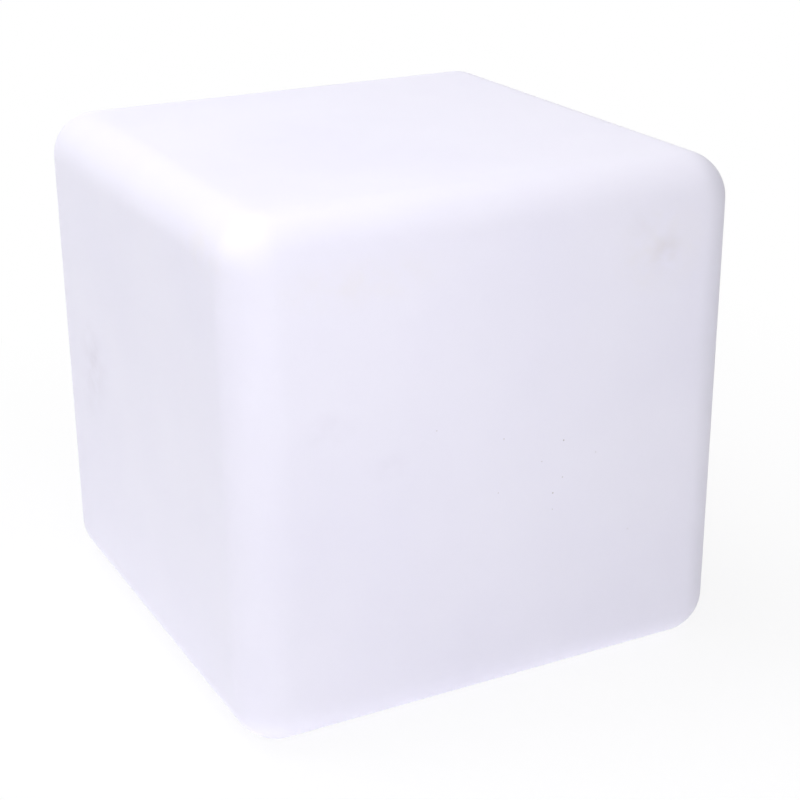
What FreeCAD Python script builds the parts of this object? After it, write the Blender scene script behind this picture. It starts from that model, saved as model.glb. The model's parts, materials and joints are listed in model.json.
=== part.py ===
import FreeCAD, Part
import math
import os
import re

import Sketcher

# LED cube light: a hollow moulded cube that stands on its open-mouthed base, with a sealed lamp unit
# screwed up into the recess underneath. Millimetres, +Z up, origin on the ground under the centre.

doc = FreeCAD.newDocument("LedCubeLight")

# Driving dimensions.
sizes = {
    # moulded cube
    "cube_width": 400,
    "cube_height": 390,
    "edge_radius": 35,
    "shell_wall": 3.5,
    "recess_depth": 20,
    "recess_gap": 5,
    "recess_lip": 5,
    "recess_corner": 3,
    "mouth_gap": 3,
    "insert_boss_wall": 4.4,
    "insert_boss_cap": 2,
    "insert_relief": 1,
    # fits
    "thread_fit": 0.05,
    "hole_clearance": 0.3,
    "running_gap": 0.2,
    # base screws and the brass inserts that take them
    "base_screw_count": 6,
    "base_screw_inset": 11,
    "base_screw_radius": 2,
    "base_screw_length": 14,
    "base_head_radius": 3.9,
    "base_head_height": 2.6,
    "base_head_sink": 3.2,
    "base_head_clearance": 0.6,
    "insert_wall": 1.05,
    "insert_length": 9,
    # shares of a screw head's radius or height
    "head_edge": 0.5,
    "head_crown": 0.72,
    "slot_reach": 0.55,
    "slot_half": 0.11,
    "slot_depth": 0.6,
    # small self-tapping screws
    "tapper_radius": 1.25,
    "tapper_head_radius": 2.4,
    "tapper_head_height": 1.6,
    "tapper_length": 8,
    "tapper_boss_wall": 1.75,
    # base housing: flange, raised panel and cup
    "flange_margin": 12,
    "flange_thickness": 6,
    "flange_round": 1.5,
    "panel_margin": 6,
    "panel_step": 1.5,
    "panel_thickness": 3,
    "cup_wall": 2.5,
    "cup_depth": 44,
    "gasket_thickness": 2,
    "gasket_margin": 2,
    # deck that closes the cup
    "deck_thickness": 3,
    "deck_seal_thickness": 1,
    "deck_screw_count": 4,
    "deck_boss_wall": 2.95,
    "boss_merge": 0.25,
    # light board, emitters and diffuser
    "dome_gap": 2.15,
    "dome_height": 30,
    "dome_wall": 2,
    "dome_flange_width": 5.5,
    "dome_flange_thickness": 2.5,
    "dome_seal_thickness": 1,
    "dome_screw_count": 3,
    "dome_screw_offset": 2.8,
    "led_board_gap": 11.5,
    "board_thickness": 1.6,
    "led_side": 5,
    "led_height": 1.6,
    "led_cup_radius": 1.9,
    "led_cup_depth": 0.6,
    "led_edge_inset": 6,
    "outer_led_count": 10,
    "inner_led_count": 6,
    "inner_led_circle": 15,
    "led_screw_count": 3,
    "led_screw_circle": 24,
    "sensor_width": 6,
    "sensor_depth": 4,
    "sensor_height": 7,
    "sensor_lens_radius": 2.4,
    "sensor_lens_height": 5.6,
    # battery pack and its tray
    "cell_radius": 9.25,
    "cell_length": 65,
    "cell_gap": 0.2,
    "cell_cap_radius": 3.2,
    "wrap_wall": 0.25,
    "wrap_overhang": 1,
    "pack_y": 25,
    "strip_thickness": 0.3,
    "strip_width": 7,
    "guard_board_thickness": 1,
    "foam_thickness": 1,
    "tray_side_gap": 0.35,
    "tray_end_gap": 2.7,
    "tray_wall": 1.8,
    "tray_base": 2,
    "tray_height": 12,
    "tray_ear_radius": 4,
    "tray_ear_thickness": 2,
    "tray_ear_lift": 5,
    "tray_screw_length": 6.5,
    "tray_lug_radius": 3.6,
    "clamp_width": 12,
    "clamp_thickness": 2,
    # control board
    "board_length": 80,
    "board_width": 36,
    "board_y": -28,
    "board_corner_gap": 2.54,
    "board_post_height": 26,
    "board_hole_inset": 4,
    "chip_length": 9.9,
    "chip_width": 3.9,
    "chip_height": 1.6,
    "chip_pitch": 15,
    "chip_row": 7,
    "inductor_side": 8,
    "inductor_height": 4,
    "inductor_x": 24,
    "parts_row": -6,
    "capacitor_radius": 3.15,
    "capacitor_height": 8,
    "capacitor_x": 14,
    # push switch
    "switch_x": -24,
    "switch_y": -26,
    "bezel_margin": 1.55,
    "bezel_thickness": 2,
    "switch_washer_thickness": 1,
    "washer_inset": 0.5,
    "barrel_wall": 0.95,
    "barrel_gap": 0.15,
    "barrel_length": 14,
    "button_radius": 4.2,
    "button_shoulder_width": 0.6,
    "button_proud": 2,
    "button_mouth_depth": 3.1,
    "button_shoulder": 1.4,
    "button_edge": 0.6,
    "button_stem_radius": 1.5,
    "button_travel": 1.5,
    "switch_block_plug": 2,
    "switch_block_length": 5,
    "nut_margin": 2.5,
    "switch_nut_thickness": 2.5,
    "spring_radius": 3.1,
    "spring_wire": 0.3,
    "spring_turns": 6,
    "terminal_width": 2,
    "terminal_thickness": 0.6,
    "terminal_length": 4,
    "terminal_spread": 2.5,
    # charging socket
    "port_x": 24,
    "port_y": -25,
    "well_radius": 9.3,
    "well_depth": 5,
    "well_wall": 3,
    "well_floor": 3,
    "jack_flange_margin": 1.6,
    "jack_flange_thickness": 1.5,
    "jack_wall": 0.7,
    "jack_length": 14.5,
    "jack_bore_radius": 2.8,
    "jack_bore_depth": 10,
    "jack_lead_in": 2,
    "contact_wall": 0.35,
    "jack_pin_radius": 1.05,
    "jack_pin_setback": 1,
    "jack_pin_nose": 0.5,
    "jack_pin_tail": 3,
    "jack_nut_thickness": 2,
    # hinged socket cover
    "cover_overlap": 0.9,
    "cover_thickness": 2,
    "cover_gap": 0.3,
    "cover_skirt_wall": 1.4,
    "cover_skirt_height": 1.5,
    "cover_nub_gap": 0.5,
    "cover_nub_height": 2.1,
    "strap_width": 8,
    "strap_thickness": 1.2,
    "hinge_reach": 16,
    "hinge_gap": 0.45,
    "anchor_length": 8,
    "anchor_stem_radius": 1.5,
    "anchor_head_radius": 2.8,
    "anchor_head_height": 1.4,
    "tab_width": 7,
    "tab_reach": 3.5,
    "nail_gap": 3,
    # pressure vent
    "vent_y": -13,
    "vent_head_margin": 1.9,
    "vent_head_height": 1.4,
    "vent_radius": 2.6,
    "vent_barb": 0.5,
    "vent_barb_height": 1.6,
    # charge indicator
    "indicator_y": -36,
    "indicator_radius": 1.5,
    "indicator_rim_width": 0.4,
    "indicator_rim": 1,
    "indicator_body": 4.5,
    "indicator_pitch": 1.27,
    # wires
    "wire_radius": 0.7,
    "fine_wire_radius": 0.35,
    "cable_radius": 1.2,
    "cable_arch": 5,
    "cable_gap": 5,
    "cable_inset": 4.5,
    "grommet_wall": 1,
    "grommet_lip": 0.8,
    "header_height": 6,
    "header_depth": 6,
    "header_width": 12,
    "battery_header_x": -28,
    "plug_height": 4,
    "plug_margin": 1,
    "lead_spacing": 3,
    "lead_lift": 3,
}

# Places and sizes worked out from them.
places = {
    # across the lamp unit, from the control board's corners outwards
    "cup_inner": "sqrt((board_length / 2) ^ 2 + (board_width / 2 - board_y) ^ 2) + board_corner_gap",
    "cup_radius": "cup_inner + cup_wall",
    "panel_radius": "cup_radius - panel_margin",
    "mouth_radius": "cup_radius + mouth_gap",
    "base_screw_circle": "mouth_radius + base_screw_inset",
    "flange_radius": "base_screw_circle + flange_margin",
    "recess_radius": "flange_radius + recess_gap",
    "insert_radius": "base_screw_radius + thread_fit + insert_wall",
    "insert_boss_radius": "insert_radius + insert_boss_wall",
    "base_screw_hole": "base_screw_radius + hole_clearance",
    "tapper_pilot": "tapper_radius + thread_fit",
    "tapper_hole": "tapper_radius + hole_clearance",
    "tapper_boss_radius": "tapper_radius + tapper_boss_wall",
    "deck_boss_radius": "tapper_radius + deck_boss_wall",
    "deck_screw_circle": "cup_inner - deck_boss_radius + boss_merge",
    "dome_flange_radius": "deck_screw_circle - tapper_head_radius - dome_gap",
    "dome_radius": "dome_flange_radius - dome_flange_width",
    "dome_screw_x": "(dome_radius + dome_screw_offset) / sqrt(2)",
    "dome_sphere": "(dome_radius ^ 2 + dome_height ^ 2) / (2 * dome_height)",
    "led_board_radius": "dome_radius - led_board_gap",
    "outer_led_circle": "led_board_radius - led_edge_inset",
    "cable_circle": "led_board_radius + cable_gap",
    "cable_landing": "led_board_radius - cable_inset",
    # heights from the ground up
    "ceiling_z": "recess_depth",
    "ceiling_top_z": "ceiling_z + shell_wall",
    "boss_top_z": "ceiling_z + insert_length + insert_relief + insert_boss_cap",
    "flange_top_z": "ceiling_z - gasket_thickness",
    "plate_z": "flange_top_z - flange_thickness",
    "head_seat_z": "plate_z + base_head_sink",
    "panel_z": "plate_z + panel_step",
    "floor_z": "panel_z + panel_thickness",
    "rim_z": "floor_z + cup_depth",
    "deck_z": "rim_z + deck_seal_thickness",
    "deck_top_z": "deck_z + deck_thickness",
    "deck_boss_drop": "tapper_length - deck_thickness + insert_relief",
    "led_face_z": "deck_top_z + board_thickness",
    "dome_z": "deck_top_z + dome_seal_thickness",
    "dome_centre_z": "dome_z + dome_height - dome_sphere",
    "dome_flange_top_z": "dome_z + dome_flange_thickness",
    # battery pack
    "cell_offset": "cell_radius + cell_gap / 2",
    "wrap_radius": "cell_radius + wrap_wall",
    "wrap_length": "cell_length + 2 * wrap_overhang",
    "tray_length": "wrap_length + 2 * (tray_wall + tray_end_gap)",
    "tray_width": "2 * (cell_offset + wrap_radius + tray_side_gap + tray_wall)",
    "tray_floor_z": "floor_z + tray_base",
    "cell_z": "tray_floor_z + foam_thickness + wrap_radius",
    "tray_top_z": "floor_z + tray_height",
    "ear_z": "floor_z + tray_ear_lift",
    "ear_x": "tray_length / 2 + tray_ear_radius",
    "lug_y": "tray_width / 2 + tray_lug_radius",
    "clamp_top_z": "cell_z + wrap_radius + clamp_thickness",
    "clamp_foot_z": "tray_top_z + clamp_thickness",
    # control board
    "board_z": "floor_z + board_post_height",
    "board_top_z": "board_z + board_thickness",
    "header_top_z": "board_top_z + header_height",
    "plug_top_z": "header_top_z + plug_height",
    # push switch
    "button_mouth_radius": "button_radius + running_gap",
    "shoulder_radius": "button_radius + button_shoulder_width",
    "chamber_radius": "shoulder_radius + running_gap",
    "barrel_radius": "chamber_radius + barrel_wall",
    "barrel_hole_radius": "barrel_radius + barrel_gap",
    "bezel_radius": "barrel_radius + bezel_margin",
    "bezel_z": "panel_z - switch_washer_thickness - bezel_thickness",
    "bezel_top_z": "bezel_z + bezel_thickness",
    "barrel_top_z": "bezel_top_z + barrel_length",
    "ledge_z": "bezel_z + button_mouth_depth",
    "shoulder_z": "ledge_z + button_shoulder",
    "block_z": "barrel_top_z - switch_block_plug",
    "block_top_z": "barrel_top_z + switch_block_length",
    "stem_z": "block_z - button_travel - hole_clearance",
    "switch_end_z": "block_top_z + terminal_length",
    # charging socket and cover
    "contact_radius": "jack_bore_radius + contact_wall",
    "jack_radius": "contact_radius + thread_fit + jack_wall",
    "well_floor_z": "panel_z + well_depth",
    "well_top_z": "well_floor_z + well_floor",
    "jack_z": "well_floor_z - jack_flange_thickness",
    "contact_z": "jack_z + jack_lead_in",
    "jack_bore_end_z": "jack_z + jack_bore_depth",
    "jack_end_z": "well_floor_z + jack_length",
    "jack_tail_z": "jack_end_z + jack_pin_tail",
    "cover_radius": "well_radius + cover_overlap",
    "cover_nub_radius": "jack_bore_radius - cover_nub_gap",
    "cover_top_z": "panel_z + cover_thickness",
    "strap_length": "hinge_reach + anchor_length",
    "strap_y": "port_y + strap_length / 2",
    "tab_length": "cover_radius + tab_reach",
    "hinge_y": "port_y + hinge_reach",
    "hinge_z": "panel_z + strap_thickness / 2",
    "anchor_y": "hinge_y + anchor_length / 2",
    "anchor_top_z": "cover_top_z + panel_thickness",
    # pressure vent and charge indicator
    "vent_head_z": "panel_z - vent_head_height",
    "vent_head_radius": "vent_radius + vent_head_margin",
    "indicator_rim_radius": "indicator_radius + indicator_rim_width",
    "indicator_top_z": "floor_z + indicator_body",
}


def fill_sheet(name, cells):
    sheet = doc.addObject("Spreadsheet::Sheet", name)
    for row, (alias, content) in enumerate(cells.items(), 1):
        sheet.set(f"A{row}", alias)
        sheet.set(f"B{row}", str(content))
        sheet.setAlias(f"B{row}", alias)
    doc.recompute()
    return sheet


def with_names(formula, own=None):
    """A formula with each bare name of a size or place written as a sheet reference."""

    def reference(match):
        word = match.group(0)
        if word in sizes:
            return "Sizes." + word
        if word in places:
            return word if own == "Places" else "Places." + word
        return word

    return re.sub(r"[A-Za-z_][A-Za-z_0-9]*", reference, formula)


size_sheet = fill_sheet("Sizes", sizes)
place_sheet = fill_sheet("Places", {k: "=" + with_names(f, "Places") for k, f in places.items()})


def number(name):
    """The value of a size or a place, for the shapes that plain Python makes."""
    return float(getattr(size_sheet if name in sizes else place_sheet, name))


def bind(thing, prop, formula):
    thing.setExpression(prop, with_names(formula))


# Sketches and features.


def new_body(name):
    return doc.addObject("PartDesign::Body", name)


def origin_feature(body, role):
    return next(f for f in body.Origin.OriginFeatures if f.Role == role)


def sketch_on(body, role, shift=("0", "0", "0")):
    """A sketch on an origin plane; shift is along the sketch's own x, y and normal."""
    sketch = body.newObject("Sketcher::SketchObject", body.Name + "_sketch")
    sketch.AttachmentSupport = [(origin_feature(body, role), "")]
    sketch.MapMode = "FlatFace"
    for axis, formula in zip("xyz", shift):
        if formula != "0":
            bind(sketch, "AttachmentOffset.Base." + axis, formula)
    return sketch


def level(body, z, x="0", y="0"):
    """A horizontal sketch at height z, with its origin at x, y."""
    return sketch_on(body, "XY_Plane", (x, y, z))


def upright(body, x="0", y="0"):
    """A sketch in the XZ plane whose vertical axis stands at x, y."""
    return sketch_on(body, "XZ_Plane", (x, "0", f"-({y})"))


def across(body, x="0"):
    """A sketch in the YZ plane at x."""
    return sketch_on(body, "YZ_Plane", ("0", "0", x))


def locate(sketch, geometry, vertex, x, y):
    """Dimensions a point of the sketch from its origin."""
    for kind, formula, axis in (("DistanceX", x, -2), ("DistanceY", y, -1)):
        if formula == "0":
            sketch.addConstraint(Sketcher.Constraint("PointOnObject", geometry, vertex, axis))
            continue
        index = sketch.addConstraint(Sketcher.Constraint(kind, -1, 1, geometry, vertex, 1.0))
        label = f"{kind}_{geometry}_{vertex}"
        sketch.renameConstraint(index, label)
        bind(sketch, "Constraints." + label, formula)


def circle(sketch, radius, x="0", y="0"):
    index = sketch.addGeometry(Part.Circle(FreeCAD.Vector(0, 0, 0), FreeCAD.Vector(0, 0, 1), 1.0))
    size = sketch.addConstraint(Sketcher.Constraint("Radius", index, 1.0))
    label = f"Radius_{index}"
    sketch.renameConstraint(size, label)
    bind(sketch, "Constraints." + label, radius)
    locate(sketch, index, 3, x, y)
    return sketch


def outline(sketch, corners):
    """A closed outline of straight lines through (x, y) corners."""
    first = sketch.GeometryCount
    turn = 2 * math.pi / len(corners)
    ring = [FreeCAD.Vector(math.cos(i * turn), math.sin(i * turn), 0) for i in range(len(corners))]
    for start, end in zip(ring, ring[1:] + ring[:1]):
        sketch.addGeometry(Part.LineSegment(start, end))
    for i, (x, y) in enumerate(corners):
        before = first + (i - 1) % len(corners)
        sketch.addConstraint(Sketcher.Constraint("Coincident", before, 2, first + i, 1))
        locate(sketch, first + i, 1, x, y)
    return sketch


def rectangle(sketch, width, depth, x="0", y="0"):
    left, right = f"{x} - ({width}) / 2", f"{x} + ({width}) / 2"
    near, far = f"{y} - ({depth}) / 2", f"{y} + ({depth}) / 2"
    return outline(sketch, [(left, near), (right, near), (right, far), (left, far)])


def pad(sketch, length, centred=False):
    body = sketch.getParentGeoFeatureGroup()
    feature = body.newObject("PartDesign::Pad", body.Name + "_pad")
    feature.Profile = sketch
    feature.Midplane = centred
    bind(feature, "Length", length)
    return feature


def pocket(sketch, length, up=True, centred=False):
    """A cut from the sketch, upwards unless told otherwise."""
    body = sketch.getParentGeoFeatureGroup()
    feature = body.newObject("PartDesign::Pocket", body.Name + "_pocket")
    feature.Profile = sketch
    feature.Midplane = centred
    feature.Reversed = up
    bind(feature, "Length", length)
    return feature


def revolve(sketch):
    body = sketch.getParentGeoFeatureGroup()
    feature = body.newObject("PartDesign::Revolution", body.Name + "_turned")
    feature.Profile = sketch
    feature.ReferenceAxis = (sketch, ["V_Axis"])
    feature.Angle = 360
    return feature


def column(body, z, height, radius, x="0", y="0"):
    return pad(circle(level(body, z, x, y), radius), height)


def bore(body, z, depth, radius, x="0", y="0", up=True):
    return pocket(circle(level(body, z, x, y), radius), depth, up)


def tube(body, z, height, outer, inner, x="0", y="0"):
    ring = circle(level(body, z, x, y), outer)
    return pad(circle(ring, inner), height)


def slab(body, z, height, width, depth, x="0", y="0"):
    return pad(rectangle(level(body, z, x, y), width, depth), height)


def cutout(body, z, height, width, depth, x="0", y="0"):
    return pocket(rectangle(level(body, z, x, y), width, depth), height)


def ring_of(features, count):
    """Repeats features evenly round the Z axis."""
    body = features[0].getParentGeoFeatureGroup()
    pattern = body.newObject("PartDesign::PolarPattern", body.Name + "_ring")
    pattern.Originals = features
    pattern.Axis = (origin_feature(body, "Z_Axis"), [""])
    pattern.Angle = 360
    bind(pattern, "Occurrences", count)
    body.Tip = pattern
    return pattern


def fillet(body, radius, chosen=None):
    """Rounds every edge of the body's tip, or those that chosen(edge) accepts."""
    doc.recompute()
    base = body.Tip
    feature = body.newObject("PartDesign::Fillet", body.Name + "_round")
    names = [f"Edge{i}" for i, e in enumerate(base.Shape.Edges, 1) if chosen is None or chosen(e)]
    if not names:
        raise ValueError(f"no edge to round on {body.Name}")
    feature.Base = (base, names)
    bind(feature, "Radius", radius)
    return feature


same_place = 0.01


def round_edge(radius, z):
    """Chooses the circles of one radius about the Z axis at one height."""

    def chosen(edge):
        if edge.Degenerated or not isinstance(edge.Curve, Part.Circle):
            return False
        curve = edge.Curve
        misses = math.hypot(curve.Center.x, curve.Center.y), curve.Radius - radius, curve.Center.z - z
        return all(abs(miss) < same_place for miss in misses)

    return chosen


def finished(piece, label):
    """Names a finished piece after the node that it becomes."""
    piece.Label = label
    nodes.append(piece)


nodes = []


def screws(label, spots, seat_z, radius, head, length, head_up=True):
    """Pan-head cross-recess screws at (x, y) spots, whose heads sit on a face at seat_z."""
    body = new_body(label)
    head_radius, head_height = head
    up, down = ("+", "-") if head_up else ("-", "+")
    tip_z, edge_z = f"{seat_z} {down} ({length})", f"{seat_z} {up} {head_height} * head_edge"
    top_z = f"{seat_z} {up} {head_height}"
    slot, half = f"{head_radius} * slot_reach", f"{head_radius} * slot_half"
    quarter = [(half, slot), (half, half), (slot, half)]
    cross = quarter + [(x, "-" + y) for x, y in quarter[::-1]]
    cross += [("-" + x, "-" + y) for x, y in quarter] + [("-" + x, y) for x, y in quarter[::-1]]
    made = []
    for x, y in spots:
        profile = [
            ("0", tip_z),
            (radius, tip_z),
            (radius, seat_z),
            (head_radius, seat_z),
            (head_radius, edge_z),
            (f"{head_radius} * head_crown", top_z),
            ("0", top_z),
        ]
        made.append(revolve(outline(upright(body, x, y), profile)))
        recess = outline(level(body, top_z, x, y), cross)
        made.append(pocket(recess, f"{head_height} * slot_depth", up=not head_up))
    return body, made


tapper_head = ("tapper_head_radius", "tapper_head_height")


def tapping_screws(label, spots, seat_z):
    return screws(label, spots, seat_z, "tapper_radius", tapper_head, "tapper_length")


# The moulded cube.


def make_shell():
    """The moulding is a rounded block with its recess, less the rounded cavity inside."""
    block = new_body("shell_block")
    slab(block, "0", "cube_height", "cube_width", "cube_width")
    fillet(block, "edge_radius")
    bore(block, "0", "ceiling_z", "recess_radius")
    fillet(block, "recess_lip", round_edge(number("recess_radius"), 0))
    fillet(block, "recess_corner", round_edge(number("recess_radius"), number("ceiling_z")))
    bore(block, "ceiling_z", "shell_wall", "mouth_radius")
    seat = bore(block, "ceiling_z", "insert_length", "insert_radius + thread_fit", "base_screw_circle")
    tip = bore(block, "ceiling_z", "insert_length + insert_relief", "base_screw_hole", "base_screw_circle")
    ring_of([seat, tip], "base_screw_count")

    cavity = new_body("shell_cavity")
    inside = "cube_width - 2 * shell_wall"
    slab(cavity, "shell_wall", "cube_height - 2 * shell_wall", inside, inside)
    fillet(cavity, "edge_radius - shell_wall")
    bore(cavity, "shell_wall", "ceiling_z", "recess_radius + shell_wall")
    wall_top = round_edge(number("recess_radius") + number("shell_wall"), number("ceiling_top_z"))
    fillet(cavity, "recess_lip", wall_top)
    boss_height = "boss_top_z - ceiling_top_z"
    boss = bore(cavity, "ceiling_top_z", boss_height, "insert_boss_radius", "base_screw_circle")
    ring_of([boss], "base_screw_count")

    shell = doc.addObject("Part::Cut", "shell")
    shell.Base = block
    shell.Tool = cavity
    finished(shell, "shell")


def make_inserts():
    body = new_body("threaded_inserts")
    thread = "base_screw_radius + thread_fit"
    insert = tube(body, "ceiling_z", "insert_length", "insert_radius", thread, "base_screw_circle")
    ring_of([insert], "base_screw_count")
    finished(body, "threaded_inserts")


def make_gasket():
    body = new_body("base_gasket")
    outer, inner = "flange_radius - gasket_margin", "mouth_radius + gasket_margin"
    tube(body, "flange_top_z", "gasket_thickness", outer, inner)
    hole = bore(body, "flange_top_z", "gasket_thickness", "base_screw_hole", "base_screw_circle")
    ring_of([hole], "base_screw_count")
    finished(body, "base_gasket")


def make_base_screws():
    spots, head = [("base_screw_circle", "0")], ("base_head_radius", "base_head_height")
    body, made = screws(
        "base_screws", spots, "head_seat_z", "base_screw_radius", head, "base_screw_length", head_up=False
    )
    ring_of(made, "base_screw_count")
    finished(body, "base_screws")


# The base housing, which carries everything in the lamp unit.

board_spots = [
    (f"0 {side} (board_length / 2 - board_hole_inset)", f"board_y {end} (board_width / 2 - board_hole_inset)")
    for side in "-+"
    for end in "-+"
]
ear_spots = [(f"0 {side} ear_x", "pack_y") for side in "-+"]
lug_spots = [("0", f"pack_y {side} lug_y") for side in "-+"]
port = ("port_x", "port_y")
switch = ("switch_x", "switch_y")


def make_base_housing():
    body = new_body("base_housing")
    revolve(
        outline(
            upright(body),
            [
                ("0", "panel_z"),
                ("panel_radius", "panel_z"),
                ("panel_radius", "plate_z"),
                ("flange_radius", "plate_z"),
                ("flange_radius", "flange_top_z"),
                ("cup_radius", "flange_top_z"),
                ("cup_radius", "rim_z"),
                ("cup_inner", "rim_z"),
                ("cup_inner", "floor_z"),
                ("0", "floor_z"),
            ],
        )
    )
    fillet(body, "flange_round", round_edge(number("flange_radius"), number("plate_z")))
    fillet(body, "flange_round / 2", round_edge(number("panel_radius"), number("plate_z")))
    head_room = "base_head_radius + base_head_clearance"
    head = bore(body, "plate_z", "base_head_sink", head_room, "base_screw_circle")
    shank = bore(body, "plate_z", "flange_thickness", "base_screw_hole", "base_screw_circle")
    ring_of([head, shank], "base_screw_count")
    boss = column(body, "floor_z", "deck_z - floor_z", "deck_boss_radius", "deck_screw_circle")
    pilot = bore(body, "deck_z", "tapper_length", "tapper_pilot", "deck_screw_circle", up=False)
    ring_of([boss, pilot], "deck_screw_count")
    for spots, height, depth in (
        (board_spots, "board_post_height", "tapper_length"),
        (ear_spots, "tray_ear_lift", "tray_ear_lift"),
    ):
        for x, y in spots:
            column(body, "floor_z", height, "tapper_boss_radius", x, y)
            bore(body, f"floor_z + {height}", depth, "tapper_pilot", x, y, up=False)

    # the well round the charging socket, and the seat of its cover
    seat_height = "anchor_top_z - panel_z"
    column(body, "panel_z", "well_top_z - panel_z", "well_radius + well_wall", *port)
    strap_wall = ("strap_width + 2 * well_wall", "strap_length + 2 * well_wall")
    slab(body, "panel_z", seat_height, *strap_wall, "port_x", "strap_y")
    bore(body, "panel_z", "cover_thickness", "cover_radius + cover_gap", *port)
    strap_seat = ("strap_width + 2 * cover_gap", "strap_length + 2 * cover_gap")
    cutout(body, "panel_z", "cover_thickness", *strap_seat, "port_x", "strap_y")
    tab_seat = ("tab_width + 2 * cover_gap", "tab_length + nail_gap")
    cutout(body, "panel_z", "cover_thickness", *tab_seat, "port_x", "port_y - (tab_length + nail_gap) / 2")
    bore(body, "panel_z", "well_depth", "well_radius", *port)
    bore(body, "panel_z", "well_top_z - panel_z", "jack_radius + thread_fit", *port)
    bore(body, "panel_z", seat_height, "anchor_stem_radius + thread_fit", "port_x", "anchor_y")
    bore(body, "panel_z", "panel_thickness", "barrel_hole_radius", *switch)
    bore(body, "panel_z", "panel_thickness", "indicator_radius + thread_fit", "0", "indicator_y")
    bore(body, "panel_z", "panel_thickness", "vent_radius + thread_fit", "0", "vent_y")
    finished(body, "base_housing")


# The deck, the light board and the diffuser.


def make_deck():
    body = new_body("deck")
    column(body, "deck_z", "deck_thickness", "cup_radius")
    hole = bore(body, "deck_z", "deck_thickness", "tapper_hole", "deck_screw_circle")
    ring_of([hole], "deck_screw_count")
    for x, y, count in (
        ("led_screw_circle", "0", "led_screw_count"),
        ("dome_screw_x", "dome_screw_x", "dome_screw_count"),
    ):
        boss = column(body, "deck_z - deck_boss_drop", "deck_boss_drop", "tapper_boss_radius", x, y)
        pilot = bore(body, "deck_top_z", "tapper_length", "tapper_pilot", x, y, up=False)
        ring_of([boss, pilot], count)
    bore(body, "deck_z", "deck_thickness", "cable_radius + grommet_wall", "0", "-cable_circle")
    finished(body, "deck")


def make_deck_seal():
    body = new_body("deck_seal")
    tube(body, "rim_z", "deck_seal_thickness", "cup_radius - hole_clearance", "cup_inner + hole_clearance")
    finished(body, "deck_seal")


def make_deck_screws():
    body, made = tapping_screws("deck_screws", [("deck_screw_circle", "0")], "deck_top_z")
    ring_of(made, "deck_screw_count")
    finished(body, "deck_screws")


def make_led_board():
    body = new_body("led_board")
    column(body, "deck_top_z", "board_thickness", "led_board_radius")
    hole = bore(body, "deck_top_z", "board_thickness", "tapper_hole", "led_screw_circle")
    ring_of([hole], "led_screw_count")
    finished(body, "led_board")

    fixings, made = tapping_screws("led_board_screws", [("led_screw_circle", "0")], "led_face_z")
    ring_of(made, "led_screw_count")
    finished(fixings, "led_board_screws")


def make_emitters():
    body = new_body("led_emitters")
    for reach, count in (("outer_led_circle", "outer_led_count"), ("inner_led_circle", "inner_led_count")):
        package = slab(body, "led_face_z", "led_height", "led_side", "led_side", reach)
        well = bore(body, "led_face_z + led_height", "led_cup_depth", "led_cup_radius", reach, up=False)
        ring_of([package, well], count)
    finished(body, "led_emitters")


def make_sensor():
    """The infrared receiver for a hand-held remote."""
    body = new_body("remote_sensor")
    slab(body, "led_face_z", "sensor_height", "sensor_width", "sensor_depth")
    column(body, "led_face_z", "sensor_lens_height", "sensor_lens_radius", "0", "-sensor_depth / 2")
    finished(body, "remote_sensor")


def make_dome():
    """A shell cut from two concentric spheres, with a flat flange."""
    body = new_body("diffuser_dome")
    for kind, radius in (("AdditiveSphere", "dome_sphere"), ("SubtractiveSphere", "dome_sphere - dome_wall")):
        if kind == "SubtractiveSphere":
            bore(body, "dome_z", "2 * dome_sphere", "2 * dome_sphere", up=False)
            column(body, "dome_z", "dome_flange_thickness", "dome_flange_radius")
        ball = body.newObject("PartDesign::" + kind, "dome_" + kind)
        bind(ball, "Radius", radius)
        bind(ball, "Placement.Base.z", "dome_centre_z")
    hole = bore(body, "dome_z", "dome_flange_thickness", "tapper_hole", "dome_screw_x", "dome_screw_x")
    ring_of([hole], "dome_screw_count")
    finished(body, "diffuser_dome")

    seal = new_body("dome_seal")
    tube(seal, "deck_top_z", "dome_seal_thickness", "dome_flange_radius - hole_clearance", "dome_radius")
    hole = bore(seal, "deck_top_z", "dome_seal_thickness", "tapper_hole", "dome_screw_x", "dome_screw_x")
    ring_of([hole], "dome_screw_count")
    finished(seal, "dome_seal")

    fixings, made = screws(
        "dome_screws", [("dome_screw_x", "dome_screw_x")], "dome_flange_top_z", "tapper_radius", tapper_head,
        "tapper_length + dome_flange_thickness",
    )
    ring_of(made, "dome_screw_count")
    finished(fixings, "dome_screws")


# The battery pack.


def pack_section(body, radius, feature):
    """The outline of two cells side by side, along X."""
    for side in "-+":
        end = circle(across(body), radius, f"pack_y {side} cell_offset", "cell_z")
        feature(end, "wrap_length", centred=True)
    web = rectangle(across(body), "2 * cell_offset", f"2 * {radius}", "pack_y", "cell_z")
    feature(web, "wrap_length", centred=True)


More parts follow.
